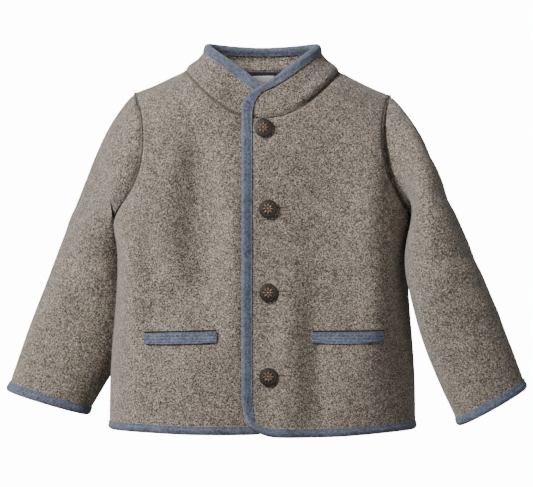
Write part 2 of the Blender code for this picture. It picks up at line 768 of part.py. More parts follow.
def shape_collar(foot, top, mirror, under):
    columns = len(foot) - 1
    foot[-1].x = mirror * GAP / 2
    end = [foot[0].lerp(top[0], k / COLLAR_ROWS) for k in range(COLLAR_ROWS + 1)]
    for k, pull in enumerate(COLLAR_END_PULL):
        end[k + 1].x = foot[0].x + (top[0].x - foot[0].x) * pull
    heel = [foot[-1].lerp(top[-1], k / COLLAR_ROWS) for k in range(COLLAR_ROWS + 1)]
    grid = patch(foot, top, end, heel)
    shaped = []
    for j, row in enumerate(grid):
        line = []
        for i, point in enumerate(row):
            ahead = row[min(i + 1, columns)] - row[max(i - 1, 0)]
            up = grid[min(j + 1, COLLAR_ROWS)][i] - grid[max(j - 1, 0)][i]
            normal = (ahead.cross(up) * mirror).normalized()
            bulge = COLLAR_BULGE * math.sin(math.pi * j / COLLAR_ROWS)
            if i == columns:
                normal.x = 0.0
            if under and j and point.y < 0:
                bulge -= overlap_dip(point.x) * COLLAR_DIP
            line.append(point + normal * bulge)
        if j:
            line[-2].y = line[-1].y  # the two halves meet flat at the back's middle
        shaped.append(line)
    return shaped


collar_right_points = collar_points(-1, UNDER_EDGE, front_right_points, True)
collar_left_points = collar_points(1, TOP_EDGE, front_left_points, False)
collar_right = sheet("collar_right", collar_right_points, wool, WOOL, flip=True)
collar_left = sheet("collar_left", collar_left_points, wool, WOOL)

# Binding

TOP_ROW = BODY_ROWS + EDGE_ROWS
for mirror_name, front, front_points, collar, collar_cloth in (
    ("right", front_right, front_right_points, collar_right, collar_right_points),
    ("left", front_left, front_left_points, collar_left, collar_left_points),
):
    down = [(j, 0) for j in range(TOP_ROW, 0, -1)]
    beside = [(j, 1) for j in range(TOP_ROW, 0, -1)]
    hem = [(0, i) for i in range(FRONT_COLUMNS + 1)]
    above = [(1, max(i, 1)) for i in range(FRONT_COLUMNS + 1)]
    bind(f"binding_front_{mirror_name}", front, front_points, down + hem, beside + above, trim=(GAP, SIDE_TRIM))
    last = len(collar_cloth[0]) - 1
    up = [(j, 0) for j in range(COLLAR_ROWS)] + [(COLLAR_ROWS, i) for i in range(last + 1)]
    next_in = [(j, 1) for j in range(COLLAR_ROWS)] + [(COLLAR_ROWS - 1, max(i, 1)) for i in range(last + 1)]
    name = f"binding_collar_{mirror_name}"
    ends = (GAP, GAP)
    bind(name, collar, collar_cloth, up, next_in, trim=ends, edge_gap=COLLAR_EDGE_GAP, leg_gap=COLLAR_LEG_GAP)

back_columns = len(back_points[0])
hem = [(0, i) for i in range(back_columns)]
above = [(1, i) for i in range(back_columns)]
bind("binding_back_hem", back, back_points, hem, above, trim=(SIDE_TRIM, SIDE_TRIM))

for mirror_name, sleeve, sleeve_cloth in (
    ("right", sleeve_right, sleeve_right_points),
    ("left", sleeve_left, sleeve_left_points),
):
    ring = [(SLEEVE_ROWS, k) for k in range(len(sleeve_cloth[0]))]
    before_last = [(SLEEVE_ROWS - 1, k) for k in range(len(sleeve_cloth[0]))]
    bind(f"binding_cuff_{mirror_name}", sleeve, sleeve_cloth, ring, before_last, closed=True)

# Pockets


def on_cloth(tree, x, z, lift):
    """The point this far above the cloth at x and z, met from the front, and the way the cloth faces."""
    start = Vector((x, IN_FRONT, z))
    found, facing = tree.ray_cast(start, Vector((0, 1, 0)))[:2]
    return found + facing * lift, facing


front_trees = {"right": solid_tree(front_right), "left": solid_tree(front_left)}
for welt in WELTS:
    tree = front_trees["right" if welt.far < 0 else "left"]
    grid = []
    for j in range(3):
        row = []
        for i in range(WELT_CELLS + 1):
            share = i / WELT_CELLS
            x = welt.near + (welt.far - welt.near) * share
            top = welt.near_top + (welt.far_top - welt.near_top) * share
            bow = WELT_BOW * math.sin(math.pi * share)
            row.append(on_cloth(tree, x, top - (welt.height + bow) * (1 - j / 2), WELT_LIFT)[0])
        grid.append(row)
    sheet(welt.name, grid, tape, WELT_THICK, flip=welt.far < 0)

# Buttons


def turned(name, section, steps, colour):
    mesh = bpy.data.meshes.new(name)
    points = [(point.radius * MM, 0.0, point.height * MM) for point in reversed(section)]
    mesh.from_pydata(points, [(k, k + 1) for k in range(len(points) - 1)], [])
    mesh.materials.append(colour)
    made = bpy.data.objects.new(name, mesh)
    jacket.objects.link(made)
    spin = made.modifiers.new("turn", "SCREW")
    spin.steps = spin.render_steps = steps
    spin.use_merge_vertices = True
    spin.merge_threshold = 0.00001
    return made


for button in BUTTONS:
    seat, facing = on_cloth(front_trees["left"], button.across, button.height, GAP)
    made = turned(button.name, BUTTON_SECTION, BUTTON_STEPS, metal)
    made.location = seat * MM
    made.rotation_mode = "QUATERNION"
    made.rotation_quaternion = Vector((0, 0, 1)).rotation_difference(facing)

# Inside the neck


def column_point(i, distance):
    """The back's inner face, this far down from the neck seam along one of its columns."""
    for j in range(len(back_points) - 1, 0, -1):
        step = back_points[j - 1][i] - back_points[j][i]
        if distance <= step.length:
            return back_points[j][i] + step * (distance / step.length)
        distance -= step.length


def inner_strip(strip, colour):
    """A strip lying on the back's inner face, hung between two distances below the neck seam."""
    tree = solid_tree(back)
    grid = []
    for j in range(strip.rows + 1):
        drop = strip.bottom + (strip.top - strip.bottom) * j / strip.rows
        line = [column_point(i, drop) for i in range(SHOULDER_COLUMNS, back_columns - SHOULDER_COLUMNS)]
        row = []
        for k in range(strip.columns + 1):
            x = strip.left + (strip.right - strip.left) * k / strip.columns
            i = max(n for n in range(len(line) - 1) if line[n].x <= x)
            share = (x - line[i].x) / (line[i + 1].x - line[i].x)
            guess = line[i].lerp(line[i + 1], share)
            found, facing = tree.find_nearest(guess)[:2]
            away = facing if facing.y < 0 else -facing
            row.append(found + away * strip.lift)
        grid.append(row)
    return sheet(strip.name, grid, colour, TAPE)


for strip in INNER_STRIPS:
    inner_strip(strip, {"neck_tape": tape, "label": label_cloth}[strip.name])
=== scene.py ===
import math

import bpy
import bmesh
import numpy as np
from mathutils import Matrix, Vector
from mathutils.bvhtree import BVHTree


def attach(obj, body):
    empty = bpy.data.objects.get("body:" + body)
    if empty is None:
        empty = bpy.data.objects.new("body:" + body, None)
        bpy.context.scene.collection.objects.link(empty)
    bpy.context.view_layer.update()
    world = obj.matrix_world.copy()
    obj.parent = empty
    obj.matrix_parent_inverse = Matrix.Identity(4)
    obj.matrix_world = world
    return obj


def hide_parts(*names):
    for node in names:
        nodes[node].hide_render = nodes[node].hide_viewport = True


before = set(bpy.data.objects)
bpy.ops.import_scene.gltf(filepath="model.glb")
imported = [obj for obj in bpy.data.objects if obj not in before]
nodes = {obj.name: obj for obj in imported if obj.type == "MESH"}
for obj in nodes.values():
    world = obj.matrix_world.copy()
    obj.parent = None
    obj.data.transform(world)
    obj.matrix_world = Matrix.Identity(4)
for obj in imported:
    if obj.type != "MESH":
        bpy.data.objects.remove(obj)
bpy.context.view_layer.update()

# Where the jacket is seen from, and the soft light on it. Strengths are in watts.

studio = {
    "eye": (0.0044, -2.6, -0.185),
    "lens": 159.6,
    "ambient": 0.17,
    "keyPlace": (-1.9, -1.75, 1.25),
    "keySize": 0.9,
    "keyPower": 132.0,
    "fillPlace": (1.2, -2.6, 0.2),
    "fillSize": 1.6,
    "fillPower": 13.0,
    "wallBehind": 6.0,
    "floorBelow": -0.9,
    "wallGlow": 14.0,
}


def addLight(name, place, size, power, target=(0, 0, -0.19)):
    lamp = bpy.data.lights.new(name, "AREA")
    lamp.shape = "DISK"
    lamp.size = size
    lamp.energy = power
    made = bpy.data.objects.new(name, lamp)
    made.location = place
    made.rotation_euler = (Vector(target) - Vector(place)).to_track_quat("-Z", "Y").to_euler()
    bpy.context.scene.collection.objects.link(made)


def setStudio():
    lens = bpy.data.cameras.new("camera")
    lens.lens = studio["lens"]
    lens.sensor_width = 36.0
    lens.clip_end = 20.0
    eye = bpy.data.objects.new("camera", lens)
    eye.location = studio["eye"]
    eye.rotation_euler = (math.radians(90), 0, 0)
    bpy.context.scene.collection.objects.link(eye)
    bpy.context.scene.camera = eye
    addLight("key", studio["keyPlace"], studio["keySize"], studio["keyPower"])
    addLight("fill", studio["fillPlace"], studio["fillSize"], studio["fillPower"])
    sky = bpy.data.worlds.new("sky")
    sky.use_nodes = True
    air = sky.node_tree.nodes["Background"]
    air.inputs["Color"].default_value = (1, 1, 1, 1)
    air.inputs["Strength"].default_value = studio["ambient"]
    bpy.context.scene.world = sky


# Sums on sockets, and the one way that a node is added


class Flow:
    def __init__(self, finish, socket):
        self.finish = finish
        self.socket = socket

    def maths(self, operation, *others):
        inputs = {k: value for k, value in enumerate(others, start=1)}
        inputs[0] = self
        return self.finish.add("ShaderNodeMath", {"operation": operation}, inputs)

    def __add__(self, other):
        return self.maths("ADD", other)

    def __sub__(self, other):
        return self.maths("SUBTRACT", other)

    def __mul__(self, other):
        return self.maths("MULTIPLY", other)

    def __rsub__(self, other):
        return self.maths("MULTIPLY", -1.0).maths("ADD", other)

    __radd__ = __add__
    __rmul__ = __mul__

    def clamped(self, low=0.0, high=1.0):
        return self.maths("MAXIMUM", low).maths("MINIMUM", high)


class Finish:
    def __init__(self, name, **constants):
        self.material = bpy.data.materials.new(name)
        self.material.use_nodes = True
        self.tree = self.material.node_tree
        self.shader = self.tree.nodes["Principled BSDF"]
        for socket, value in constants.items():
            self.shader.inputs[socket.replace("_", " ")].default_value = value

    def add(self, kind, settings=None, inputs=None, out=0):
        node = self.tree.nodes.new(kind)
        for key, value in (settings or {}).items():
            if key == "stops":
                ramp = node.color_ramp
                while len(ramp.elements) < len(value):
                    ramp.elements.new(1.0)
                for stop, (place, colour) in zip(ramp.elements, value):
                    stop.position = place
                    stop.color = (*colour, 1.0)
            else:
                setattr(node, key, value)
        for key, value in (inputs or {}).items():
            if isinstance(value, Flow):
                self.tree.links.new(value.socket, node.inputs[key])
            else:
                node.inputs[key].default_value = value
        return Flow(self, node.outputs[out])

    def mix(self, share, a, b):
        return self.add("ShaderNodeMix", {"data_type": "RGBA"}, {0: share, 6: a, 7: b}, out=2)

    def place(self, scale=(1, 1, 1), source="Object"):
        where = self.add("ShaderNodeTexCoord", out=source)
        return self.add("ShaderNodeMapping", inputs={"Vector": where, "Scale": scale})

    def speckle(self, where, scale, detail=2.0, roughness=0.5, distortion=0.0):
        sizes = {"Vector": where, "Scale": scale, "Detail": detail, "Roughness": roughness}
        return self.add("ShaderNodeTexNoise", inputs={**sizes, "Distortion": distortion})

    def feed(self, socket, flow):
        self.tree.links.new(flow.socket, self.shader.inputs[socket])

    def bump(self, height, distance, strength=1.0):
        inputs = {"Height": height, "Distance": distance, "Strength": strength}
        self.feed("Normal", self.add("ShaderNodeBump", inputs=inputs))


# Boiled wool: light and dark fibres felted together, so that no weave shows

wool = {
    "dark": (0.026, 0.020, 0.015),
    "middle": (0.165, 0.134, 0.105),
    "light": (0.66, 0.57, 0.47),
    "fleckScale": 780.0,
    "fineScale": 1700.0,
    "cloudScale": 90.0,
    "bump": 0.0011,
    # how dark the painted shade in a seam's furrow is
    "seamShade": 0.66,
}


def makeWool():
    soft = {"Roughness": 0.95, "Sheen_Weight": 0.25, "Sheen_Roughness": 0.6, "Specular_IOR_Level": 0.15}
    finish = Finish("felted wool", **soft)
    where = finish.place()
    fleck = finish.speckle(where, wool["fleckScale"], detail=3.0, roughness=0.6, distortion=0.9)
    fine = finish.speckle(where, wool["fineScale"], detail=2.0, roughness=0.6, distortion=0.6)
    cloud = finish.speckle(where, wool["cloudScale"], detail=3.0)
    tone = fleck * 0.62 + fine * 0.38 + (cloud - 0.5) * 0.06
    stops = [(0.415, wool["dark"]), (0.505, wool["middle"]), (0.605, wool["light"])]
    colour = finish.add("ShaderNodeValToRGB", {"stops": stops}, {"Fac": tone})
    # The cloth is painted darker in the furrow of a seam: painted shade where the seam's groove falls into
    # shadow.
    seam = finish.add("ShaderNodeAttribute", {"attribute_name": "seam"}, out="Fac")
    finish.feed("Base Color", finish.mix(seam * wool["seamShade"], colour, (*wool["dark"], 1)))
    finish.bump(fleck * 0.7 + fine * 0.3, wool["bump"])
    return finish.material


def makeFibre():
    finish = Finish("loose fibres", Roughness=0.9, Sheen_Weight=0.4, Sheen_Roughness=0.5)
    shade = finish.add("ShaderNodeAttribute", {"attribute_name": "shade"}, out="Fac")
    finish.feed("Base Color", finish.mix(shade, (0.12, 0.10, 0.085, 1), (0.60, 0.55, 0.50, 1)))
    return finish.material


# Knitted binding tape: fine wales run along it, and UV is in metres along and across

tapeLook = {
    # the yarn in the painted shade of the knit's valleys, and the yarn on its ribs
    "shadedValley": (0.012, 0.017, 0.034),
    "rib": (0.285, 0.325, 0.440),
    "wale": 0.0016,
    "course": 0.0013,
    "bump": 0.0009,
}


def ribbedColour(finish, along, across, look):
    wave = (across * (2 * math.pi / look["wale"])).maths("SINE") * 0.5 + 0.5
    stitch = (along * (2 * math.pi / look["course"]) + wave * 2.2).maths("SINE") * 0.5 + 0.5
    where = finish.place()
    worn = finish.speckle(where, 420.0, detail=3.0, roughness=0.65)
    patch = finish.speckle(where, 60.0, detail=2.0)
    height = wave * 0.7 + stitch * 0.25 + worn * 0.25
    # The knit is painted darker where its relief is low: painted shade in the valleys between wales and
    # stitches, over a random tone of wear and patches.
    tone = ((height - 0.6) * 1.0 + 0.45 + (patch - 0.5) * 0.5 + (worn - 0.5) * 1.4).clamped()
    finish.feed("Base Color", finish.mix(tone, (*look["shadedValley"], 1), (*look["rib"], 1)))
    finish.bump(height, look["bump"])


def makeTape(name="knitted tape", look=tapeLook):
    finish = Finish(name, Roughness=0.85, Sheen_Weight=0.3, Sheen_Roughness=0.5, Specular_IOR_Level=0.2)
    where = finish.add("ShaderNodeUVMap", {"uv_map": "tape"})
    split = finish.add("ShaderNodeSeparateXYZ", inputs={"Vector": where})
    across = Flow(finish, split.socket.node.outputs["Y"])
    ribbedColour(finish, split, across, look)
    return finish.material


def makeThread(name, colour):
    finish = Finish(name, Roughness=0.6, Sheen_Weight=0.2)
    twist = finish.speckle(finish.place(), 1800.0, detail=1.0)
    dark = tuple(0.6 * c for c in colour)
    finish.feed("Base Color", finish.mix(twist, (*dark, 1), (*colour, 1)))
    return finish.material


def makeMetal(name, low, high, metallic):
    finish = Finish(name, Metallic=metallic)
    where = finish.place()
    grime = finish.speckle(where, 900.0, detail=4.0, roughness=0.7)
    finish.feed("Base Color", finish.mix(grime, (*low, 1), (*high, 1)))
    finish.feed("Roughness", grime * 0.35 + 0.3)
    finish.bump(grime, 0.00025)
    return finish.material


def makeLabel():
    finish = Finish("label weave", Roughness=0.6)
    where = finish.place()
    parts = finish.add("ShaderNodeSeparateXYZ", inputs={"Vector": where})
    rise = Flow(finish, parts.socket.node.outputs["Z"])
    thread = 2 * math.pi / 0.0007
    weft = (rise * thread).maths("SINE") * 0.5 + 0.5
    warp = (parts * thread).maths("SINE") * 0.5 + 0.5
    weave = weft * warp
    finish.feed("Base Color", finish.mix(weave, (0.80, 0.80, 0.79, 1), (0.95, 0.95, 0.94, 1)))
    finish.bump(weave, 0.0002)
    return finish.material


def makePlain(name, colour, roughness=0.9):
    finish = Finish(name, Roughness=roughness)
    grain = finish.speckle(finish.place(), 1200.0, detail=2.0)
    dark = tuple(0.7 * c for c in colour)
    finish.feed("Base Color", finish.mix(grain, (*dark, 1), (*colour, 1)))
    return finish.material


# Helpers for working on meshes


def setMode(mode):
    bpy.ops.object.mode_set(mode=mode)


def select(*things):
    if bpy.context.object and bpy.context.object.mode != "OBJECT":
        setMode("OBJECT")
    bpy.ops.object.select_all(action="DESELECT")
    for thing in things:
        thing.select_set(True)
    bpy.context.view_layer.objects.active = things[0]


def useModifier(piece, kind, **settings):
    modifier = piece.modifiers.new(kind.lower(), kind)
    for key, value in settings.items():
        setattr(modifier, key, value)
    select(piece)
    bpy.ops.object.modifier_apply(modifier=modifier.name)


def softenEdges(piece, width, angle, segments=2):
    limit = math.radians(angle)
    useModifier(piece, "BEVEL", width=width, segments=segments, limit_method="ANGLE", angle_limit=limit)


def smoothen(piece, levels):
    useModifier(piece, "SUBSURF", levels=levels, render_levels=levels)


def readPoints(piece):
    points = np.empty(len(piece.data.vertices) * 3)
    piece.data.vertices.foreach_get("co", points)
    return points.reshape(-1, 3)


def writePoints(piece, points):
    piece.data.vertices.foreach_set("co", np.asarray(points, dtype=np.float32).ravel())
    piece.data.update()


def pairTriangles(piece):
    # Pairs a node's triangles so that nearly every corner has four sides. Blender's own pairing leaves a few
    # triangles over on twisted cells, and each is led to another one by shifting the pairs between them.
    plain = bmesh.new()
    plain.from_mesh(piece.data)
    select(piece)
    setMode("EDIT")
    bpy.ops.mesh.tris_convert_to_quads(face_threshold=math.pi, shape_threshold=math.pi)
    setMode("OBJECT")
    kept = {frozenset(edge.vertices) for edge in piece.data.edges}
    plain.edges.ensure_lookup_table()
    plain.faces.ensure_lookup_table()
    sides = {edge.index: frozenset(v.index for v in edge.verts) for edge in plain.edges}
    beside = {face.index: [] for face in plain.faces}
    for edge in plain.edges:
        one, two = [face.index for face in edge.link_faces]
        beside[one].append((edge.index, two))
        beside[two].append((edge.index, one))
    mate = {}
    valence = {v.index: len(v.link_edges) for v in plain.verts}
    for face, around in beside.items():
        for edge, other in around:
            if sides[edge] not in kept:
                mate[face] = (edge, other)
                if face < other:
                    for k in sides[edge]:
                        valence[k] -= 1

    def search(at, flips, visited, depth):
        # Yields the chains of shifted pairs from a triangle without a mate to another one.
        for edge, other in beside[at]:
            if other in visited:
                continue
            if other not in mate:
                yield flips + [("join", edge, at, other)]
            elif depth:
                held, beyond = mate[other]
                if beyond not in visited:
                    chain = flips + [("join", edge, at, other), ("part", held, other, beyond)]
                    yield from search(beyond, chain, visited | {other, beyond}, depth - 1)

    alone = [face for face in beside if face not in mate]
    for face in alone:
        if face in mate:
            continue
        best, bestCost = None, None
        for depth in (2, 5, 8):
            for chain in search(face, [], {face}, depth):
                changed = {}
                for kind, edge, _, _ in chain:
                    for k in sides[edge]:
                        changed[k] = changed.get(k, valence[k]) + (-1 if kind == "join" else 1)
                cost = 0.01 * len(chain)
                cost += sum(abs(v - 4) - abs(valence[k] - 4) for k, v in changed.items())
                if best is None or cost < bestCost:
                    best, bestCost = chain, cost
            if best is not None and bestCost < 0:
                break
        if best is None:
            continue
        for kind, edge, one, two in best:
            for k in sides[edge]:
                valence[k] += -1 if kind == "join" else 1
            if kind == "join":
                mate[one], mate[two] = (edge, two), (edge, one)
    joined = {edge for edge, _ in mate.values()}
    bmesh.ops.dissolve_edges(plain, edges=[e for e in plain.edges if e.index in joined], use_verts=False)
    plain.to_mesh(piece.data)
    plain.free()


def quadCopy(node, name):
    # A copy of a CAD node with its corners joined and its triangles paired again.
    source = nodes[node]
    piece = bpy.data.objects.new(name, source.data.copy())
    bpy.context.scene.collection.objects.link(piece)
    piece.data.materials.clear()
    select(piece)
    setMode("EDIT")
    bpy.ops.mesh.select_all(action="SELECT")
    bpy.ops.mesh.remove_doubles(threshold=0.00003)
    setMode("OBJECT")
    if piece.data.has_custom_normals:
        bpy.ops.mesh.customdata_custom_splitnormals_clear()
    pairTriangles(piece)
    select(piece)
    bpy.ops.object.shade_smooth()
    return piece


def creaseRims(piece, angle=55.0, amount=1.0):
    select(piece)
    setMode("EDIT")
    bpy.ops.mesh.select_mode(type="EDGE")
    bpy.ops.mesh.select_all(action="DESELECT")
    bpy.ops.mesh.edges_select_sharp(sharpness=math.radians(angle))
    bpy.ops.transform.edge_crease(value=amount)
    setMode("OBJECT")


def treeOf(piece):
    mesh = piece.data
    mesh.calc_loop_triangles()
    corners = [v.co.copy() for v in mesh.vertices]
    return BVHTree.FromPolygons(corners, [tuple(t.vertices) for t in mesh.loop_triangles])


def dress(piece, material, slot, *replaced):
    if material is not None:
        piece.data.materials.clear()
        piece.data.materials.append(material)
    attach(piece, "root")
    if replaced:
        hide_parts(*replaced)
    return piece


def linkMesh(name, mesh):
    piece = bpy.data.objects.new(name, mesh)
    bpy.context.scene.collection.objects.link(piece)
    return piece


def smoothStep(a, b, values):
    t = np.clip((values - a) / (b - a), 0.0, 1.0)
    return t * t * (3.0 - 2.0 * t)


# The cloth's soft folds. Each is a trough or ridge along a line on the body, in millimetres from the front,
# and the body's folds move what lies on it as well: tape, welts and buttons.

foldColumns = ("x1", "z1", "x2", "z2", "width", "height")
frontFolds = [
    (-148, -60, -158, -150, 9, -4.5),
    (-133, -90, -128, -165, 13, 4.5),
    (-146, -150, -142, -300, 17, 9.0),
    (-70, -60, -62, -275, 21, -14.0),
    (-78, -232, -124, -276, 20, -6.0),
    (-108, -120, -104, -262, 18, 6.0),
    (-150, -160, -96, -236, 13, -7.5),
    (-30, -100, -30, -320, 15, 4.6),
    (-62, -322, -112, -348, 24, 2.0),
    (-130, -285, -142, -382, 15, 3.4),
    (-30, -335, -34, -390, 16, 2.0),
    (28, -215, 30, -388, 16, 4.6),
    (57, -235, 61, -390, 14, -4.6),
    (58, -100, 60, -220, 22, -2.4),
    (122, -70, 126, -310, 25, 12.5),
    (96, -290, 128, -385, 24, 4.0),
    (146, -150, 156, -370, 9, -2.4),
    (128, -70, 118, -150, 12, 1.6),
]
backFolds = [
    (-140, -70, -128, -170, 14, -3.6),
    (138, -68, 126, -175, 14, -3.2),
    (-66, -110, -58, -300, 24, 4.0),
    (70, -120, 60, -285, 22, 3.6),
    (-20, -200, -26, -384, 16, -3.0),
    (34, -230, 40, -384, 18, -3.4),
    (-108, -250, -118, -380, 16, -2.6),
    (106, -235, 118, -382, 17, 3.0),
    (0, -30, 4, -90, 20, -1.6),
]
sleeveFolds = [
    (0.10, 20, 0.22, 150, 0.035, -3.0),
    (0.24, -30, 0.36, 120, 0.040, -2.6),
    (0.34, 60, 0.46, 230, 0.040, 2.2),
    (0.47, -60, 0.56, 90, 0.035, -2.4),
    (0.58, 120, 0.72, 260, 0.045, -2.0),
    (0.66, -20, 0.80, 110, 0.040, 2.0),
    (0.20, 190, 0.40, 320, 0.045, -2.4),
]
underArm = {"height": -160.0, "reach": 26.0, "from": 0.120, "to": 0.152, "out": 0.0045}
neckSag = {"halfWidth": 30.0, "height": -14.0, "reach": 17.0, "drop": 0.0028, "front": (0.020, 0.036)}
bodyEdge = {"full": 0.030, "none": 0.004, "side": (0.192, 0.172), "chest": -0.055, "fade": 0.040}
sleeveEdge = {"top": (0.02, 0.14), "cuff": (0.97, 0.90), "foldEnd": (1.0, 0.45), "side": (0.15, 0.75)}
sleeveLine = {
    "right": ((-0.150, 0.020, -0.060), (-0.246, 0.048, -0.345)),
    "left": ((0.150, -0.020, -0.060), (0.246, -0.046, -0.345)),
}


def foldSum(across, up, folds, scale):
    # The folds' heights summed at each point. A fold is highest half way along and fades at its ends.
    total = np.zeros(len(across))
    for fold in folds:
        row = dict(zip(foldColumns, fold))
        run = np.array([row["x2"] - row["x1"], row["z2"] - row["z1"]])
        length = np.linalg.norm(run)
        run = run / length
        dx, dz = across - row["x1"], up - row["z1"]
        along = (dx * run[0] + dz * run[1]) / length
        away = (dx * run[1] - dz * run[0]) / row["width"]
        fade = smoothStep(-0.25, 0.30, along) * smoothStep(1.25, 0.70, along)
        total += row["height"] * scale * np.exp(-away**2) * fade
    return total


def draped(points):
    # Where the points of the body's pieces go. Front folds push towards the front, back folds to the back.
    moved = np.array(points, dtype=float)
    across, up = moved[:, 0] * 1000, moved[:, 2] * 1000
    frontShare = smoothStep(bodyEdge["none"], bodyEdge["full"], -moved[:, 1])
    backShare = smoothStep(bodyEdge["none"], bodyEdge["full"], moved[:, 1])
    body = smoothStep(*bodyEdge["side"], np.abs(moved[:, 0]))
    low = smoothStep(bodyEdge["chest"] + bodyEdge["fade"], bodyEdge["chest"], moved[:, 2])
    moved[:, 1] -= foldSum(across, up, frontFolds, 0.001) * frontShare * low * body
    moved[:, 1] += foldSum(across, up, backFolds, 0.001) * backShare * low * body
    sag = np.exp(-(across / neckSag["halfWidth"]) ** 2 - ((up - neckSag["height"]) / neckSag["reach"]) ** 2)
    moved[:, 2] -= neckSag["drop"] * sag * smoothStep(*neckSag["front"], -moved[:, 1])
    bulge = np.exp(-((up - underArm["height"]) / underArm["reach"]) ** 2)
    bulge *= smoothStep(underArm["from"], underArm["to"], np.abs(moved[:, 0]))
    moved[:, 0] += np.sign(moved[:, 0]) * underArm["out"] * bulge
    return moved


def besideSleeve(points, side):
    # The sleeve's direction, and each point's share of the sleeve's length and its way out of the middle.
    start, end = (np.array(place) for place in sleeveLine[side])
    run = end - start
    length = np.linalg.norm(run)
    run = run / length
    away = points - start
    return run, away @ run / length, away - np.outer(away @ run, run)


def drapedSleeve(points, side):
    # The same for a sleeve: a fold is placed by its share of the sleeve's length and its angle round it.
    run, share, radial = besideSleeve(points, side)
    ahead = np.array([0.0, -1.0, 0.0])
    ahead -= run * (ahead @ run)
    ahead /= np.linalg.norm(ahead)
    beside = np.cross(run, ahead) * (1 if side == "right" else -1)
    angle = np.degrees(np.arctan2(radial @ beside, radial @ ahead))
    total = np.zeros(len(points))
    for fold in sleeveFolds:
        row = dict(zip(foldColumns, fold))
        middle = (row["z1"] + row["z2"]) / 2
        half = (row["z2"] - row["z1"]) / 2
        turn = (angle - middle + 180) % 360 - 180
        line = row["x1"] + (row["x2"] - row["x1"]) * (turn / half + 1) / 2
        fade = smoothStep(*sleeveEdge["foldEnd"], np.abs(turn) / half)
        total += row["height"] * 0.001 * np.exp(-((share - line) / row["width"]) ** 2) * fade
    total *= smoothStep(*sleeveEdge["top"], share) * smoothStep(*sleeveEdge["cuff"], share)
    out = radial / np.linalg.norm(radial, axis=1)[:, None]
    total *= smoothStep(*sleeveEdge["side"], np.abs(out @ ahead))
    return points + out * total[:, None]


# Wool panels

woolPanels = {
    "front_right": "frontRight",
    "front_left": "frontLeft",
    "back": "backPanel",
    "sleeve_right": "sleeveRight",
    "sleeve_left": "sleeveLeft",
    "collar_right": "collarRight",
    "collar_left": "collarLeft",
}
panelShape = {
    "levels": 3,
    "napHeight": 0.0004,
    "napSize": 0.0042,
    "seamReach": 0.0048,
    "seamOverlap": 0.56,
    "middleReach": 0.0006,
    "middleOverlap": 0.00006,
    "grooveDepth": 0.0021,
    "grooveInside": 0.0003,
    "grooveWidth": 0.0021,
    # how wide the painted shade along a seam is
    "seamShadeWidth": 0.0013,
    "puff": 0.0042,  # how far the collar swells over the neck seam
    "puffStart": 0.0030,
    "puffEnd": (0.006, 0.018),
    "throat": (0.026, 0.052),  # the swelling starts beside the crossed ends of the collar
    "neckHalf": (0.060, 0.034),
    "seamNear": 0.006,
    "collarNear": 0.020,
}
sewnTo = {
    "front_right": ("back", "sleeve_right", "collar_right"),
    "front_left": ("back", "sleeve_left", "collar_left"),
    "back": ("front_right", "front_left", "sleeve_right", "sleeve_left", "collar_right", "collar_left"),
    "sleeve_right": ("front_right", "back"),
    "sleeve_left": ("front_left", "back"),
    "collar_right": ("front_right", "back"),
    "collar_left": ("front_left", "back"),
}


def closeSeams(copies):
    # Draws the panels' edges together where they are sewn, so that no light comes through.
    trees = {node: treeOf(copy) for node, copy in copies.items()}
    for node, copy in copies.items():
        mesh = bmesh.new()
        mesh.from_mesh(copy.data)
        for vert in mesh.verts:
            if max(edge.calc_face_angle(0.0) for edge in vert.link_edges) < math.radians(55):
                continue
            nearest, reach = None, panelShape["seamReach"]
            for other in sewnTo[node]:
                found, _, _, distance = trees[other].find_nearest(vert.co, reach)
                if found is not None and distance < reach:
                    nearest, reach = found, distance
            if node.startswith("collar") and vert.co.y > 0 and abs(vert.co.x) < panelShape["middleReach"]:
                vert.co.x = math.copysign(panelShape["middleOverlap"], -vert.co.x)
                if nearest:
                    vert.co.z = vert.co.lerp(nearest, panelShape["seamOverlap"]).z
            elif nearest:
                vert.co = vert.co.lerp(nearest, panelShape["seamOverlap"])
        mesh.to_mesh(copy.data)
        mesh.free()


def sinkSeams(piece, node, trees):
    # Thins the cloth along its seams, where the stitching pulls it in, swells the collar above its seam, and
    # keeps painted shade along each seam for the wool's colour.
    shape = panelShape
    points = readPoints(piece)
    normals = np.empty(len(points) * 3)
    piece.data.vertices.foreach_get("normal", normals)
    normals = normals.reshape(-1, 3)
    isCollar = node.startswith("collar")
    if node.startswith("sleeve"):
        away = besideSleeve(points, node.split("_")[1])[2]
    else:
        away = points * np.array([0.35, 1.0, 0.0]) + np.array([0.0, 0.0, 0.02])
    paintedSeamShade = np.zeros(len(points))
    for k, point in enumerate(points):
        place = Vector(point)
        nearest, reach = None, shape["collarNear" if isCollar else "seamNear"]
        for other in sewnTo[node]:
            found, _, _, distance = trees[other].find_nearest(place, reach)
            if found is not None and distance < reach:
                nearest, reach = found, distance
        if nearest is None:
            continue
        # Painted shade for the seam's furrow, strongest on the seam's line.
        paintedSeamShade[k] = math.exp(-((reach / shape["seamShadeWidth"]) ** 2))
        toward = np.array((nearest - place).normalized())
        inward = normals[k] - toward * (normals[k] @ toward)
        outside = away[k] @ normals[k] > 0
        depth = shape["grooveDepth" if outside else "grooveInside"]
        points[k] -= inward * depth * math.exp(-((reach / shape["grooveWidth"]) ** 2))
        if isCollar:
            rise = 1 - math.exp(-reach / shape["puffStart"])
            fall = float(1 - smoothStep(*shape["puffEnd"], reach))
            clear = float(smoothStep(*shape["throat"], abs(point[0]))) if point[1] < 0 else 1.0
            wide, deep = shape["neckHalf"]
            out = np.array([point[0] / wide**2, point[1] / deep**2, 0.0])
            points[k] += out / np.linalg.norm(out) * shape["puff"] * rise * fall * clear
    writePoints(piece, points)
    # The painted seam shade goes to the point attribute that the wool's colour reads.
    seam = piece.data.attributes.new("seam", "FLOAT", "POINT")
    seam.data.foreach_set("value", paintedSeamShade)


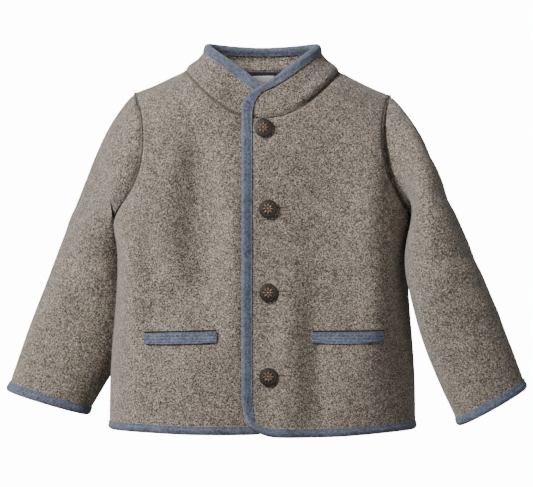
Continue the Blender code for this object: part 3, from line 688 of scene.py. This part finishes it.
def makePanel(node, piece, trees, material):
    creaseRims(piece)
    smoothen(piece, panelShape["levels"])
    sinkSeams(piece, node, trees)
    if node.startswith("sleeve"):
        writePoints(piece, drapedSleeve(readPoints(piece), node.split("_")[1]))
    else:
        writePoints(piece, draped(readPoints(piece)))
    nap = bpy.data.textures.new("nap", "CLOUDS")
    nap.noise_scale = panelShape["napSize"]
    nap.noise_depth = 2
    useModifier(piece, "DISPLACE", texture=nap, texture_coords="LOCAL", strength=panelShape["napHeight"])
    select(piece)
    bpy.ops.object.shade_smooth()
    dress(piece, material, "boiled_wool", node)
    return piece


# Binding tapes. One tape runs from hem to hem, up the fronts and round the collar.

tapeRuns = {
    "edgeTape": ("binding_front_right", "binding_collar_right", "binding_collar_left", "binding_front_left"),
    "backHemTape": ("binding_back_hem",),
    "cuffTapeRight": ("binding_cuff_right",),
    "cuffTapeLeft": ("binding_cuff_left",),
}
tapeShape = {
    "levels": 2,
    "sectionPoints": 12,
    "plump": 0.0013,  # how far the tape swells between its stitching and its fold
    "pinch": 0.0007,  # how far the stitching pulls it down
    "stitchShare": 0.24,  # where the stitching lies, as a share of the tape's flat side
}


def sectionLoop(start, first):
    # The closed loop of corners round a tape's section, or nothing where the walk runs along the tape.
    loop = [start]
    at, edge = start, first
    while len(loop) <= tapeShape["sectionPoints"]:
        at = edge.other_vert(at)
        if at == start:
            return loop if len(loop) == tapeShape["sectionPoints"] else None
        loop.append(at)
        if len(at.link_edges) != 4:
            return None
        faces = set(edge.link_faces)
        onward = [e for e in at.link_edges if e != edge and not faces & set(e.link_faces)]
        if len(onward) != 1:
            return None
        edge = onward[0]
    return None


def nextSection(loop, used):
    # The neighbouring section, corner by corner, on a side that isn't used yet.
    count = len(loop)
    first = [f for f in loop[0].link_faces if loop[1] in f.verts and f not in used]
    for face in first:
        following = []
        for k in range(count):
            a, b = loop[k], loop[(k + 1) % count]
            if k:
                held = following[-1]
                found = [f for f in a.link_faces if b in f.verts and held in f.verts]
                face = found[0] if found else None
            if face is None or len(face.verts) != 4 or face in used:
                following = None
                break
            used.add(face)
            for corner, beside in ((a, b), (b, a))[1 if following else 0 :]:
                sides = [e for e in corner.link_edges if e in face.edges and beside not in e.verts]
                following.append(sides[0].other_vert(corner))
        if following and following[0] == following[-1]:
            return following[:-1]
    return None


def tapeSections(mesh):
    # All sections in order. Each starts at the end of one leg and goes round the outer layer first.
    starts = [(vert, edge) for vert in mesh.verts if len(vert.link_edges) == 4 for edge in vert.link_edges]
    loop = next(found for found in (sectionLoop(*start) for start in starts) if found)
    count = len(loop)
    half = count // 2
    spans = [(loop[(k + 1) % count].co - loop[k].co).length for k in range(count)]
    thin = min(range(half), key=lambda k: spans[k] + spans[k + half])
    turned = [loop[(thin + 1 + k) % count] for k in range(count)]
    one = sum((turned[k + 1].co - turned[k].co).length for k in range(half - 1))
    two = sum((turned[k + 1].co - turned[k].co).length for k in range(half, count - 1))
    if two > one:
        turned = turned[half:] + turned[:half]
    used = set()
    sections = [turned]
    closed = False
    step = nextSection(turned, used)
    while step and not closed:
        if step[0] == turned[0]:
            closed = True
            break
        sections.append(step)
        step = nextSection(step, used)
    if not closed:
        step = nextSection(turned, used)
        while step:
            sections.insert(0, step)
            step = nextSection(step, used)
    return sections, closed


def readSections(node):
    # The sections of a tape's CAD node as points: the outer layer's, and the inner layer's beside them.
    piece = quadCopy(node, node + "Copy")
    mesh = bmesh.new()
    mesh.from_mesh(piece.data)
    found, closed = tapeSections(mesh)
    half = tapeShape["sectionPoints"] // 2
    sections = []
    for section in found:
        places = [vert.co.copy() for vert in section]
        sections.append((places[:half], places[half:][::-1]))
    mesh.free()
    bpy.data.objects.remove(piece)
    return sections, closed


def flipped(sections):
    return [(outer[::-1], inner[::-1]) for outer, inner in sections]


def joinSections(run, more):
    # Sews a tape's sections on to the run, with one shared section where the two ends meet.
    if not run:
        return more

    def apart(a, b):
        return sum((p - q).length for p, q in zip(a[0], b[0]))

    ends = []
    for turnRun in (False, True):
        for turnMore in (False, True):
            for flip in (False, True):
                a = run[::-1] if turnRun else run
                b = more[::-1] if turnMore else more
                b = flipped(b) if flip else b
                ends.append((apart(a[-1], b[0]), len(ends), a, b))
    _, _, a, b = min(ends)
    shared = tuple([p.lerp(q, 0.5) for p, q in zip(one, two)] for one, two in zip(a[-1], b[0]))
    return a[:-1] + [shared] + b[1:]


def plumpSection(outer, inner):
    # Adds the stitching's groove and the soft swell to both flat sides of a section.
    share = tapeShape["stitchShare"]
    groove, swell = tapeShape["pinch"], tapeShape["plump"]

    def side(end, fold, endIn, foldIn):
        away = (end - endIn).lerp(fold - foldIn, 0.5).normalized()
        outs = [end - away * groove * 0.6, end.lerp(fold, share) - away * groove]
        outs += [end.lerp(fold, 0.62) + away * swell, fold + away * swell * 0.45]
        ins = [endIn, endIn.lerp(foldIn, share), endIn.lerp(foldIn, 0.62), foldIn]
        return outs, ins

    outsA, insA = side(outer[0], outer[1], inner[0], inner[1])
    outsB, insB = side(outer[-1], outer[-2], inner[-1], inner[-2])
    return outsA + outer[2:-2] + outsB[::-1], insA + inner[2:-2] + insB[::-1]


def makeTapeRun(name, material):
    run, closed = [], False
    for node in tapeRuns[name]:
        sections, closed = readSections(node)
        run = joinSections(run, sections)
    run = [plumpSection(*section) for section in run]
    half = len(run[0][0])
    count = len(run)
    points = []
    for outer, inner in run:
        points += [*outer, *inner[::-1]]
    across = [0.0]
    for k in range(half - 1):
        spans = [(outer[k + 1] - outer[k]).length for outer, _ in run]
        across.append(across[-1] + sum(spans) / len(spans))
    across += across[::-1]
    along = [0.0]
    ring = run + run[:1] if closed else run
    for a, b in zip(ring, ring[1:]):
        along.append(along[-1] + sum((q - p).length for p, q in zip(a[0], b[0])) / half)
    faces, places = [], []
    around = 2 * half
    for s in range(count if closed else count - 1):
        after = (s + 1) % count
        for k in range(around):
            nxt = (k + 1) % around
            faces.append((s * around + k, after * around + k, after * around + nxt, s * around + nxt))
            places += [(along[s], across[k]), (along[s + 1], across[k])]
            places += [(along[s + 1], across[nxt]), (along[s], across[nxt])]
    if not closed:
        for s in (0, count - 1):
            for k in range(half - 1):
                back = around - 1 - k
                cap = (s * around + k, s * around + k + 1, s * around + back - 1, s * around + back)
                spots = [(along[s], across[k]), (along[s], across[k + 1])]
                spots += [(along[s] + 0.001, across[k + 1]), (along[s] + 0.001, across[k])]
                faces.append(cap if s == 0 else cap[::-1])
                places += spots if s == 0 else spots[::-1]
    mesh = bpy.data.meshes.new(name)
    mesh.from_pydata([tuple(p) for p in points], [], faces)
    layer = mesh.uv_layers.new(name="tape")
    for corner, spot in zip(layer.data, places):
        corner.uv = spot
    piece = linkMesh(name, mesh)
    select(piece)
    setMode("EDIT")
    bpy.ops.mesh.select_all(action="SELECT")
    bpy.ops.mesh.normals_make_consistent(inside=False)
    setMode("OBJECT")
    bpy.ops.object.shade_smooth()
    smoothen(piece, tapeShape["levels"])
    writePoints(piece, draped(readPoints(piece)))
    dress(piece, material, "binding_tape", *tapeRuns[name])
    outer = [[Vector(p) for p in draped(np.array([tuple(q) for q in section]))] for section, _ in run]
    return piece, outer, closed


# Stitching

stitching = {
    "pitch": 0.0045,
    "length": 0.0032,
    "radius": 0.00058,
    "jitter": 0.10,
    "seed": 5,
}


def stitchTemplate(length, radius):
    bpy.ops.object.select_all(action="DESELECT")
    bpy.ops.mesh.primitive_uv_sphere_add(segments=6, ring_count=5, radius=1.0)
    ball = bpy.context.object
    setMode("EDIT")
    bpy.ops.transform.rotate(value=math.pi / 2, orient_axis="Y", center_override=(0, 0, 0))
    bpy.ops.transform.resize(value=(length / 2, radius, radius))
    setMode("OBJECT")
    points = readPoints(ball)
    faces = [tuple(f.vertices) for f in ball.data.polygons]
    bpy.data.objects.remove(ball)
    points[:, 2] -= (points[:, 0] / (length / 2)) ** 2 * radius * 1.2
    return points, faces


def curveThrough(points, spacing, closed=False):
    # Even steps along a smooth curve through the points.
    dense = []
    count = len(points)
    for k in range(count if closed else count - 1):
        a = points[k - 1] if closed or k else points[0]
        b, c = points[k], points[(k + 1) % count]
        d = points[(k + 2) % count] if closed or k + 2 < count else points[-1]
        for step in range(12):
            t = step / 12
            bend, twist = 2 * a - 5 * b + 4 * c - d, 3 * b - a - 3 * c + d
            dense.append(0.5 * (2 * b + (c - a) * t + bend * t**2 + twist * t**3))
    dense.append(points[0] if closed else points[-1])
    lengths = [0.0]
    for a, b in zip(dense, dense[1:]):
        lengths.append(lengths[-1] + (b - a).length)
    total = max(int(lengths[-1] / spacing), 1)
    even, k = [], 0
    for step in range(total + (0 if closed else 1)):
        goal = lengths[-1] * step / total
        while k < len(dense) - 2 and lengths[k + 1] < goal:
            k += 1
        t = (goal - lengths[k]) / max(lengths[k + 1] - lengths[k], 1e-9)
        even.append(dense[k].lerp(dense[k + 1], t))
    return even


def stitchAlong(path, tree, template, rng=None, closed=False, jitter=stitching["jitter"], lift=0.0):
    # Copies of the template along a path, each lying on the cloth below it.
    points, faces = template
    allPoints, allFaces = [], []
    count = len(path)
    for k, place in enumerate(path):
        after = path[(k + 1) % count] if closed else path[min(k + 1, count - 1)]
        before = path[k - 1] if closed or k else path[0]
        found, facing, _, _ = tree.find_nearest(place)
        if facing.dot(place - found) < 0 and (place - found).length > 0.0004:
            facing = -facing
        run = after - before
        run = (run - facing * run.dot(facing)).normalized()
        side = facing.cross(run)
        if rng is not None:
            turn = rng.normal(0.0, jitter)
            run = (run * math.cos(turn) + side * math.sin(turn)).normalized()
            side = facing.cross(run)
        spot = found + facing * lift
        turned = np.outer(points[:, 0], run) + np.outer(points[:, 1], side) + np.outer(points[:, 2], facing)
        start = len(allPoints) * len(points)
        allPoints.append(turned + np.array(spot))
        allFaces += [tuple(start + i for i in face) for face in faces]
    return np.concatenate(allPoints), allFaces


def joinParts(name, parts, material, slot):
    points, faces, start = [], [], 0
    for some, theirs in parts:
        points.append(some)
        faces += [tuple(start + i for i in face) for face in theirs]
        start += len(some)
    mesh = bpy.data.meshes.new(name)
    mesh.from_pydata(np.concatenate(points).tolist(), [], faces)
    piece = linkMesh(name, mesh)
    select(piece)
    bpy.ops.object.shade_smooth()
    return dress(piece, material, slot)


def stitchTape(name, piece, outer, closed, material, rng):
    template = stitchTemplate(stitching["length"], stitching["radius"])
    tree = treeOf(piece)
    parts = []
    for corner in (1, -2):
        path = curveThrough([section[corner] for section in outer], stitching["pitch"], closed)
        parts.append(stitchAlong(path, tree, template, rng, closed))
    return joinParts(name, parts, material, "binding_tape")


# Buttons

buttonShape = {
    "radius": 0.0100,
    "edgeHeight": 0.0016,
    "rimWidth": 0.0012,
    "rimRise": 0.0008,
    "fieldDrop": 0.0006,
    "petals": 8,
    "petalRing": 0.0038,
    "petalSize": (0.0023, 0.0011, 0.0008),
    "bossRadius": 0.0016,
    "beads": 28,
    "beadRing": 0.0072,
    "beadRadius": 0.00042,
    "dome": ((0.0022, 0.00025), (0.0022, 0.0002), (0.0018, 0.0001)),  # steps inwards and up
    "shank": 0.0010,
}


def flatSelect(piece, test):
    # Selects the faces for which the test of centre and normal holds.
    setMode("OBJECT")
    for face in piece.data.polygons:
        face.select = test(face.center, face.normal)
    setMode("EDIT")
    bpy.ops.mesh.select_mode(type="FACE")


def makeButtonDisc():
    shape = buttonShape
    bpy.ops.object.select_all(action="DESELECT")
    depth = shape["edgeHeight"]
    bpy.ops.mesh.primitive_cylinder_add(vertices=56, radius=shape["radius"], depth=depth)
    disc = bpy.context.object
    disc.location.z = depth / 2
    bpy.ops.object.transform_apply(location=True)
    flatSelect(disc, lambda centre, normal: normal.z > 0.9)
    bpy.ops.mesh.inset(thickness=0.0004)
    bpy.ops.transform.translate(value=(0, 0, shape["rimRise"]))
    bpy.ops.mesh.inset(thickness=shape["rimWidth"])
    bpy.ops.mesh.inset(thickness=0.0005)
    bpy.ops.transform.translate(value=(0, 0, -shape["fieldDrop"] - 0.0004))
    for step, rise in shape["dome"]:
        bpy.ops.mesh.inset(thickness=step)
        bpy.ops.transform.translate(value=(0, 0, rise))
    flatSelect(disc, lambda centre, normal: normal.z < -0.9)
    bpy.ops.mesh.inset(thickness=0.0011)
    bpy.ops.transform.translate(value=(0, 0, -0.0005))
    bpy.ops.mesh.inset(thickness=0.0069)
    bpy.ops.mesh.extrude_region_move(TRANSFORM_OT_translate={"value": (0, 0, -shape["shank"])})
    setMode("OBJECT")
    softenEdges(disc, 0.00025, 25)
    return disc


def addBall(place, size, turn=0.0, segments=12, rings=8):
    bpy.ops.object.select_all(action="DESELECT")
    bpy.ops.mesh.primitive_uv_sphere_add(segments=segments, ring_count=rings, radius=1.0)
    ball = bpy.context.object
    turned = Matrix.Rotation(turn, 4, "Z") @ Matrix.Diagonal((*size, 1.0))
    ball.data.transform(Matrix.Translation(place) @ turned)
    return ball


def onRing(radius, share, height):
    turn = 2 * math.pi * share
    return (radius * math.cos(turn), radius * math.sin(turn), height)


def makeButtonRelief():
    # A plain flower within a ring of beads.
    shape = buttonShape
    top = shape["edgeHeight"] + shape["rimRise"] - shape["fieldDrop"]
    boss, bead = shape["bossRadius"], shape["beadRadius"]
    balls = [addBall((0, 0, top + 0.0004), (boss, boss, 0.0006), segments=16)]
    for k in range(shape["petals"]):
        share = k / shape["petals"]
        place = onRing(shape["petalRing"], share, top + 0.0002)
        balls.append(addBall(place, shape["petalSize"], 2 * math.pi * share))
    for k in range(shape["beads"]):
        place = onRing(shape["beadRing"], k / shape["beads"], top)
        balls.append(addBall(place, (bead, bead, bead), segments=8, rings=6))
    select(*balls)
    bpy.ops.object.join()
    return balls[0]


def buttonSeat(node):
    # The button's middle on the cloth and the way that it faces, from the CAD node.
    points = readPoints(nodes[node])
    middle = points.mean(axis=0)
    _, _, axes = np.linalg.svd(points - middle, full_matrices=False)
    facing = Vector(axes[2])
    facing = facing if facing.y < 0 else -facing
    reach = (points - middle) @ np.array(facing)
    return Vector(middle), facing.normalized(), reach.max()


def makeButtons(darkMetal, bronze):
    disc = makeButtonDisc()
    relief = makeButtonRelief()
    disc.data.materials.append(darkMetal)
    relief.data.materials.append(bronze)
    select(disc, relief)
    bpy.ops.object.join()
    bpy.ops.object.shade_smooth_by_angle(angle=math.radians(40))
    highest = readPoints(disc)[:, 2].max()
    for k in range(1, 5):
        middle, facing, reach = buttonSeat(f"button_{k}")
        piece = linkMesh(f"button{k}", disc.data.copy())
        turn = Vector((0, 0, 1)).rotation_difference(facing).to_matrix().to_4x4()
        seat = Vector(draped(np.array([tuple(middle)]))[0])
        place = Matrix.Translation(seat + facing * (reach - highest))
        piece.data.transform(place @ turn)
        dress(piece, None, "antique_metal", f"button_{k}")
    bpy.data.objects.remove(disc)


# Buttonholes, of which only the right end shows beside each button

holeShape = {
    "start": 0.0088,
    "end": 0.0205,
    "halfWidth": 0.0011,
    "rise": 0.06,  # how far it climbs for its length
    "above": 0.0012,  # how far it lies over the button's middle
    "straight": 0.85,  # the share of its length before the rounded end
    "round": 0.12,
    "stitch": (0.0021, 0.00034),
    "pitch": 0.0009,
    # the dark stitches of painted shadow along the slit's middle: their length and radius, and below, their
    # pitch
    "slit": (0.0019, 0.0004),
    "slitPitch": 0.0010,
}


def onFront(tree, x, z, lift=0.0):
    # The point of a front that is seen at this place, or a little in front of it.
    found, normal, _, _ = tree.ray_cast(Vector((x, -0.3, z)), Vector((0, 1, 0)))
    return found + normal * lift


def holeLine(shape):
    # The stitched edge of a buttonhole: out along its lower side, round its end and back.
    length = shape["end"] - shape["start"]
    line = []
    for step in range(17):
        side = min(step, 16 - step)
        if side < 6:
            x = length * shape["straight"] * side / 6
            z = math.copysign(shape["halfWidth"], step - 8)
        else:
            bend = math.pi * ((step - 6) / 4 - 0.5)
            x = length * (shape["straight"] + shape["round"] * math.cos(bend))
            z = shape["halfWidth"] * math.sin(bend)
        line.append((shape["start"] + x, z + shape["rise"] * (shape["start"] + x)))
    return line


def makeButtonholes(tree, threadMaterial, slitShadowMaterial):
    shape = holeShape
    length = shape["end"] - shape["start"]
    thread, dark = stitchTemplate(*shape["stitch"]), stitchTemplate(*shape["slit"])
    edge = holeLine(shape)
    middleLine = [(shape["start"] + length * k / 8, shape["rise"] * length * k / 8) for k in range(9)]
    for k in range(1, 5):
        middle, _, _ = buttonSeat(f"button_{k}")
        base = middle.z + shape["above"]
        lips = [onFront(tree, middle.x + x, base + z) for x, z in edge]
        slit = [onFront(tree, middle.x + x, base + z) for x, z in middleLine]
        path = curveThrough(lips, shape["pitch"])
        stitches = stitchAlong(path, tree, thread, np.random.default_rng(k), jitter=0.12, lift=0.00005)
        joinParts(f"buttonhole{k}", [stitches], threadMaterial, "boiled_wool")
        # Dark stitches along the slit's middle: painted shadow in the buttonhole's opening.
        inside = stitchAlong(curveThrough(slit, shape["slitPitch"]), tree, dark)
        joinParts(f"buttonholeSlit{k}", [inside], slitShadowMaterial, "boiled_wool")


# Pocket welts, with a dark strip above each for its opening: painted shadow

weltShape = {
    "levels": 3,
    "crease": 0.55,
    "slitHeight": 0.0017,
    "slitIn": 0.0006,
    "slitUnder": 0.0012,  # how far the painted shadow strip of the opening reaches down behind the welt
    "slitCells": (40, 2),
    "seamIn": 0.0016,
}


def flatUv(piece):
    # The tape's UV for a piece that faces the front.
    while piece.data.uv_layers:
        piece.data.uv_layers.remove(piece.data.uv_layers[0])
    layer = piece.data.uv_layers.new(name="tape")
    for corner in piece.data.loops:
        spot = piece.data.vertices[corner.vertex_index].co
        layer.data[corner.index].uv = (spot.x, spot.z)


def makeWelt(node, name, tapeMaterial, slitShadowMaterial, threadMaterial, frontTree, rng):
    piece = quadCopy(node, name)
    writePoints(piece, draped(readPoints(piece)))
    points = readPoints(piece)
    left, right = points[:, 0].min(), points[:, 0].max()

    def edgeLine(pick):
        # The welt's top or bottom edge, from left to right.
        line = []
        for x in sorted(set(np.round(points[:, 0], 4))):
            near = points[np.abs(points[:, 0] - x) < 0.0006]
            line.append((x, pick(near[:, 2])))
        return line

    tops, bottoms = edgeLine(np.max), edgeLine(np.min)
    creaseRims(piece, angle=60.0, amount=weltShape["crease"])
    smoothen(piece, weltShape["levels"])
    flatUv(piece)
    dress(piece, tapeMaterial, "binding_tape", node)
    weltTree = treeOf(piece)

    def heightAt(line, x):
        return float(np.interp(x, [p[0] for p in line], [p[1] for p in line]))

    # A dark sheet just over the wool above the welt, partly behind its top edge: painted shadow of the
    # pocket's opening.
    columns, rows = weltShape["slitCells"]
    inset, under = weltShape["slitIn"], weltShape["slitUnder"]
    slitPoints, slitFaces = [], []
    for j in range(rows + 1):
        for i in range(columns + 1):
            x = left + inset + (right - left - 2 * inset) * i / columns
            z = heightAt(tops, x) - under + (weltShape["slitHeight"] + under) * j / rows
            slitPoints.append(np.array(onFront(frontTree, x, z, 0.0003)))
    for j in range(rows):
        for i in range(columns):
            a = j * (columns + 1) + i
            slitFaces.append((a, a + 1, a + columns + 2, a + columns + 1))
    slit = joinParts(f"{name}Opening", [(np.array(slitPoints), slitFaces)], slitShadowMaterial, "boiled_wool")
    useModifier(slit, "SOLIDIFY", thickness=0.0002, offset=0.0)
    template = stitchTemplate(stitching["length"], stitching["radius"])
    seamIn = weltShape["seamIn"]
    line = []
    for step in range(31):
        x = left + seamIn + (right - left - 2 * seamIn) * step / 30
        line.append(Vector((x, points[:, 1].min() - 0.001, heightAt(bottoms, x) + seamIn)))
    path = curveThrough(line, stitching["pitch"])
    stitches = stitchAlong(path, weltTree, template, rng)
    joinParts(f"{name}Stitches", [stitches], threadMaterial, "binding_tape")


# What each piece of cloth was cut from: its flat width and length in metres, and its own area where the cut
# isn't a rectangle.

cuts = {
    "frontRight": (0.225, 0.404, 0.076),
    "frontLeft": (0.220, 0.406, 0.075),
    "backPanel": (0.397, 0.409, 0.138),
    "sleeveRight": (0.277, 0.373, 0.079),
    "sleeveLeft": (0.240, 0.372, 0.073),
    "collarRight": (0.040, 0.205, 0.0081),
    "collarLeft": (0.040, 0.200, 0.0078),
    "edgeTape": (0.0235, 1.510, None),
    "backHemTape": (0.0214, 0.390, None),
    "cuffTapeRight": (0.025, 0.236, None),
    "cuffTapeLeft": (0.025, 0.212, None),
    "weltRight": (0.014, 0.081, None),
    "weltLeft": (0.014, 0.081, None),
    "neckTape": (0.010, 0.142, 0.00067),  # it is 5 mm wide, and a cut is stated as 10 mm or more
    "sizeLabel": (0.0285, 0.0158, None),
}


def declareSheets(worn):
    # The wearer's shoulders carry the jacket, so it hangs from nothing that is built. Each cut's worn pieces
    # are looked up, and nothing more is done with them.
    for name, (width, length, area) in cuts.items():
        beside = [bpy.data.objects[other] for other in worn.get(name, [])]


# Loose fibres that stand off the wool

fuzz = {"count": 26000, "length": (0.0012, 0.0030), "radius": 0.00006, "lean": 1.3, "seed": 11}


def growFuzz(panels, material):
    rng = np.random.default_rng(fuzz["seed"])
    areas = {}
    for panel in panels:
        mesh = panel.data
        mesh.calc_loop_triangles()
        count = len(mesh.loop_triangles)
        corners = np.empty(count * 3, dtype=np.int64)
        mesh.loop_triangles.foreach_get("vertices", corners)
        corners = corners.reshape(-1, 3)
        points = readPoints(panel)
        a, b, c = points[corners[:, 0]], points[corners[:, 1]], points[corners[:, 2]]
        cross = np.cross(b - a, c - a)
        areas[panel.name] = (a, b, c, cross, np.linalg.norm(cross, axis=1) / 2)
    whole = sum(entry[4].sum() for entry in areas.values())
    for panel in panels:
        a, b, c, cross, area = areas[panel.name]
        count = int(fuzz["count"] * area.sum() / whole)
        picked = rng.choice(len(area), size=count, p=area / area.sum())
        u, v = rng.random(count), rng.random(count)
        flip = u + v > 1
        u[flip], v[flip] = 1 - u[flip], 1 - v[flip]
        root = a[picked] + (b - a)[picked] * u[:, None] + (c - a)[picked] * v[:, None]
        normal = cross[picked] / np.linalg.norm(cross[picked], axis=1)[:, None]
        lean = rng.normal(size=(count, 3))
        lean -= normal * (lean * normal).sum(axis=1)[:, None]
        lean /= np.linalg.norm(lean, axis=1)[:, None]
        length = rng.uniform(*fuzz["length"], count)[:, None]
        over = rng.uniform(0.2, fuzz["lean"], count)[:, None]
        tip = root + (normal * 0.75 + lean * over) * length * 0.75
        root = root - normal * 0.0002
        side = np.cross(normal, lean)
        rings = []
        for place, size in ((root, 1.0), (tip, 0.35)):
            for turn in range(3):
                angle = 2 * math.pi * turn / 3
                around = side * math.cos(angle) + normal * math.sin(angle)
                rings.append(place + around * fuzz["radius"] * size)
        points = np.stack(rings, axis=1).reshape(-1, 3)
        faces = np.array([(turn, (turn + 1) % 3, 3 + (turn + 1) % 3, 3 + turn) for turn in range(3)])
        every = (faces[None] + (np.arange(count) * 6)[:, None, None]).reshape(-1, 4)
        tips = np.arange(count)[:, None] * 6 + np.array([[3, 4, 5]])
        mesh = bpy.data.meshes.new(panel.name + "Fibres")
        mesh.from_pydata(points.tolist(), [], every.tolist() + tips.tolist())
        shade = mesh.attributes.new("shade", "FLOAT", "POINT")
        shade.data.foreach_set("value", np.repeat(rng.beta(1.2, 1.2, count), 6).astype(np.float32))
        piece = linkMesh(panel.name + "Fibres", mesh)
        dress(piece, material, "boiled_wool")


# Floor and wall

def makeBackdrop():
    finish = Finish("paper", Roughness=0.95)
    finish.shader.inputs["Base Color"].default_value = (0.95, 0.95, 0.95, 1)
    finish.shader.inputs["Emission Color"].default_value = (1, 1, 1, 1)
    finish.shader.inputs["Emission Strength"].default_value = studio["wallGlow"]
    bpy.ops.object.select_all(action="DESELECT")
    bpy.ops.mesh.primitive_plane_add(size=2.0, location=(0, 0, 0))
    sheet = bpy.context.object
    sheet.name = "backdrop"
    low, back = studio["floorBelow"], studio["wallBehind"]
    sheet.data.transform(Matrix.Diagonal((4.0, 3.5, 1.0, 1.0)))
    sheet.data.transform(Matrix.Translation((0, back - 3.5, low)))
    setMode("EDIT")
    bpy.ops.mesh.select_mode(type="EDGE")
    bpy.ops.mesh.select_all(action="DESELECT")
    setMode("OBJECT")
    for edge in sheet.data.edges:
        edge.select = all(sheet.data.vertices[i].co.y > back - 0.01 for i in edge.vertices)
    setMode("EDIT")
    bpy.ops.mesh.extrude_region_move(TRANSFORM_OT_translate={"value": (0, 0, 3.5)})
    setMode("OBJECT")
    softenEdges(sheet, 0.5, 30, segments=12)
    bpy.ops.object.shade_smooth()
    sheet.data.materials.append(finish.material)
    sheet.visible_diffuse = False
    sheet.visible_glossy = False
    sheet.visible_shadow = False


# Putting it together

print("studio")
setStudio()
makeBackdrop()

print("finishes")
woolMaterial = makeWool()
fibreMaterial = makeFibre()
tapeMaterial = makeTape()
neckLook = dict(tapeLook, shadedValley=(0.020, 0.026, 0.038), rib=(0.060, 0.072, 0.095))
neckMaterial = makeTape("neck tape", neckLook)
threadMaterial = makeThread("tape thread", (0.13, 0.165, 0.24))
holeThread = makeThread("buttonhole thread", (0.17, 0.14, 0.12))
# A near-black finish for the strips laid in the pocket openings and buttonhole slits: painted shadow where
# the openings are.
slitShadowMaterial = makePlain("inside dark", (0.012, 0.010, 0.009))
darkMetal = makeMetal("old metal", (0.012, 0.011, 0.009), (0.085, 0.075, 0.065), 0.85)
bronze = makeMetal("worn bronze", (0.09, 0.062, 0.042), (0.34, 0.24, 0.17), 0.85)
labelMaterial = makeLabel()

print("wool panels")
copies = {node: quadCopy(node, name) for node, name in woolPanels.items()}
closeSeams(copies)
seamTrees = {node: treeOf(copy) for node, copy in copies.items()}
panels = {node: makePanel(node, copy, seamTrees, woolMaterial) for node, copy in copies.items()}

print("binding tapes and stitching")
rng = np.random.default_rng(stitching["seed"])
for name in tapeRuns:
    piece, outer, closed = makeTapeRun(name, tapeMaterial)
    stitchTape(f"{name}Stitches", piece, outer, closed, threadMaterial, rng)

print("pockets")
frontTrees = {"left": treeOf(panels["front_left"]), "right": treeOf(panels["front_right"])}
for side in ("right", "left"):
    welt = (f"pocket_welt_{side}", f"welt{side.title()}")
    makeWelt(*welt, tapeMaterial, slitShadowMaterial, threadMaterial, frontTrees[side], rng)

print("buttons")
makeButtons(darkMetal, bronze)
makeButtonholes(frontTrees["left"], holeThread, slitShadowMaterial)

print("inside the neck")
neckTape = quadCopy("neck_tape", "neckTape")
softenEdges(neckTape, 0.0002, 50)
flatUv(neckTape)
dress(neckTape, neckMaterial, "binding_tape", "neck_tape")
label = quadCopy("label", "sizeLabel")
softenEdges(label, 0.0002, 50)
dress(label, labelMaterial, "label_cloth", "label")

print("loose fibres")
growFuzz(list(panels.values()), fibreMaterial)

print("cloth")
worn = {name: [f"{name}Stitches"] for name in list(tapeRuns) + ["weltRight", "weltLeft"]}
worn.update({name: [f"{name}Fibres"] for name in woolPanels.values()})
declareSheets(worn)
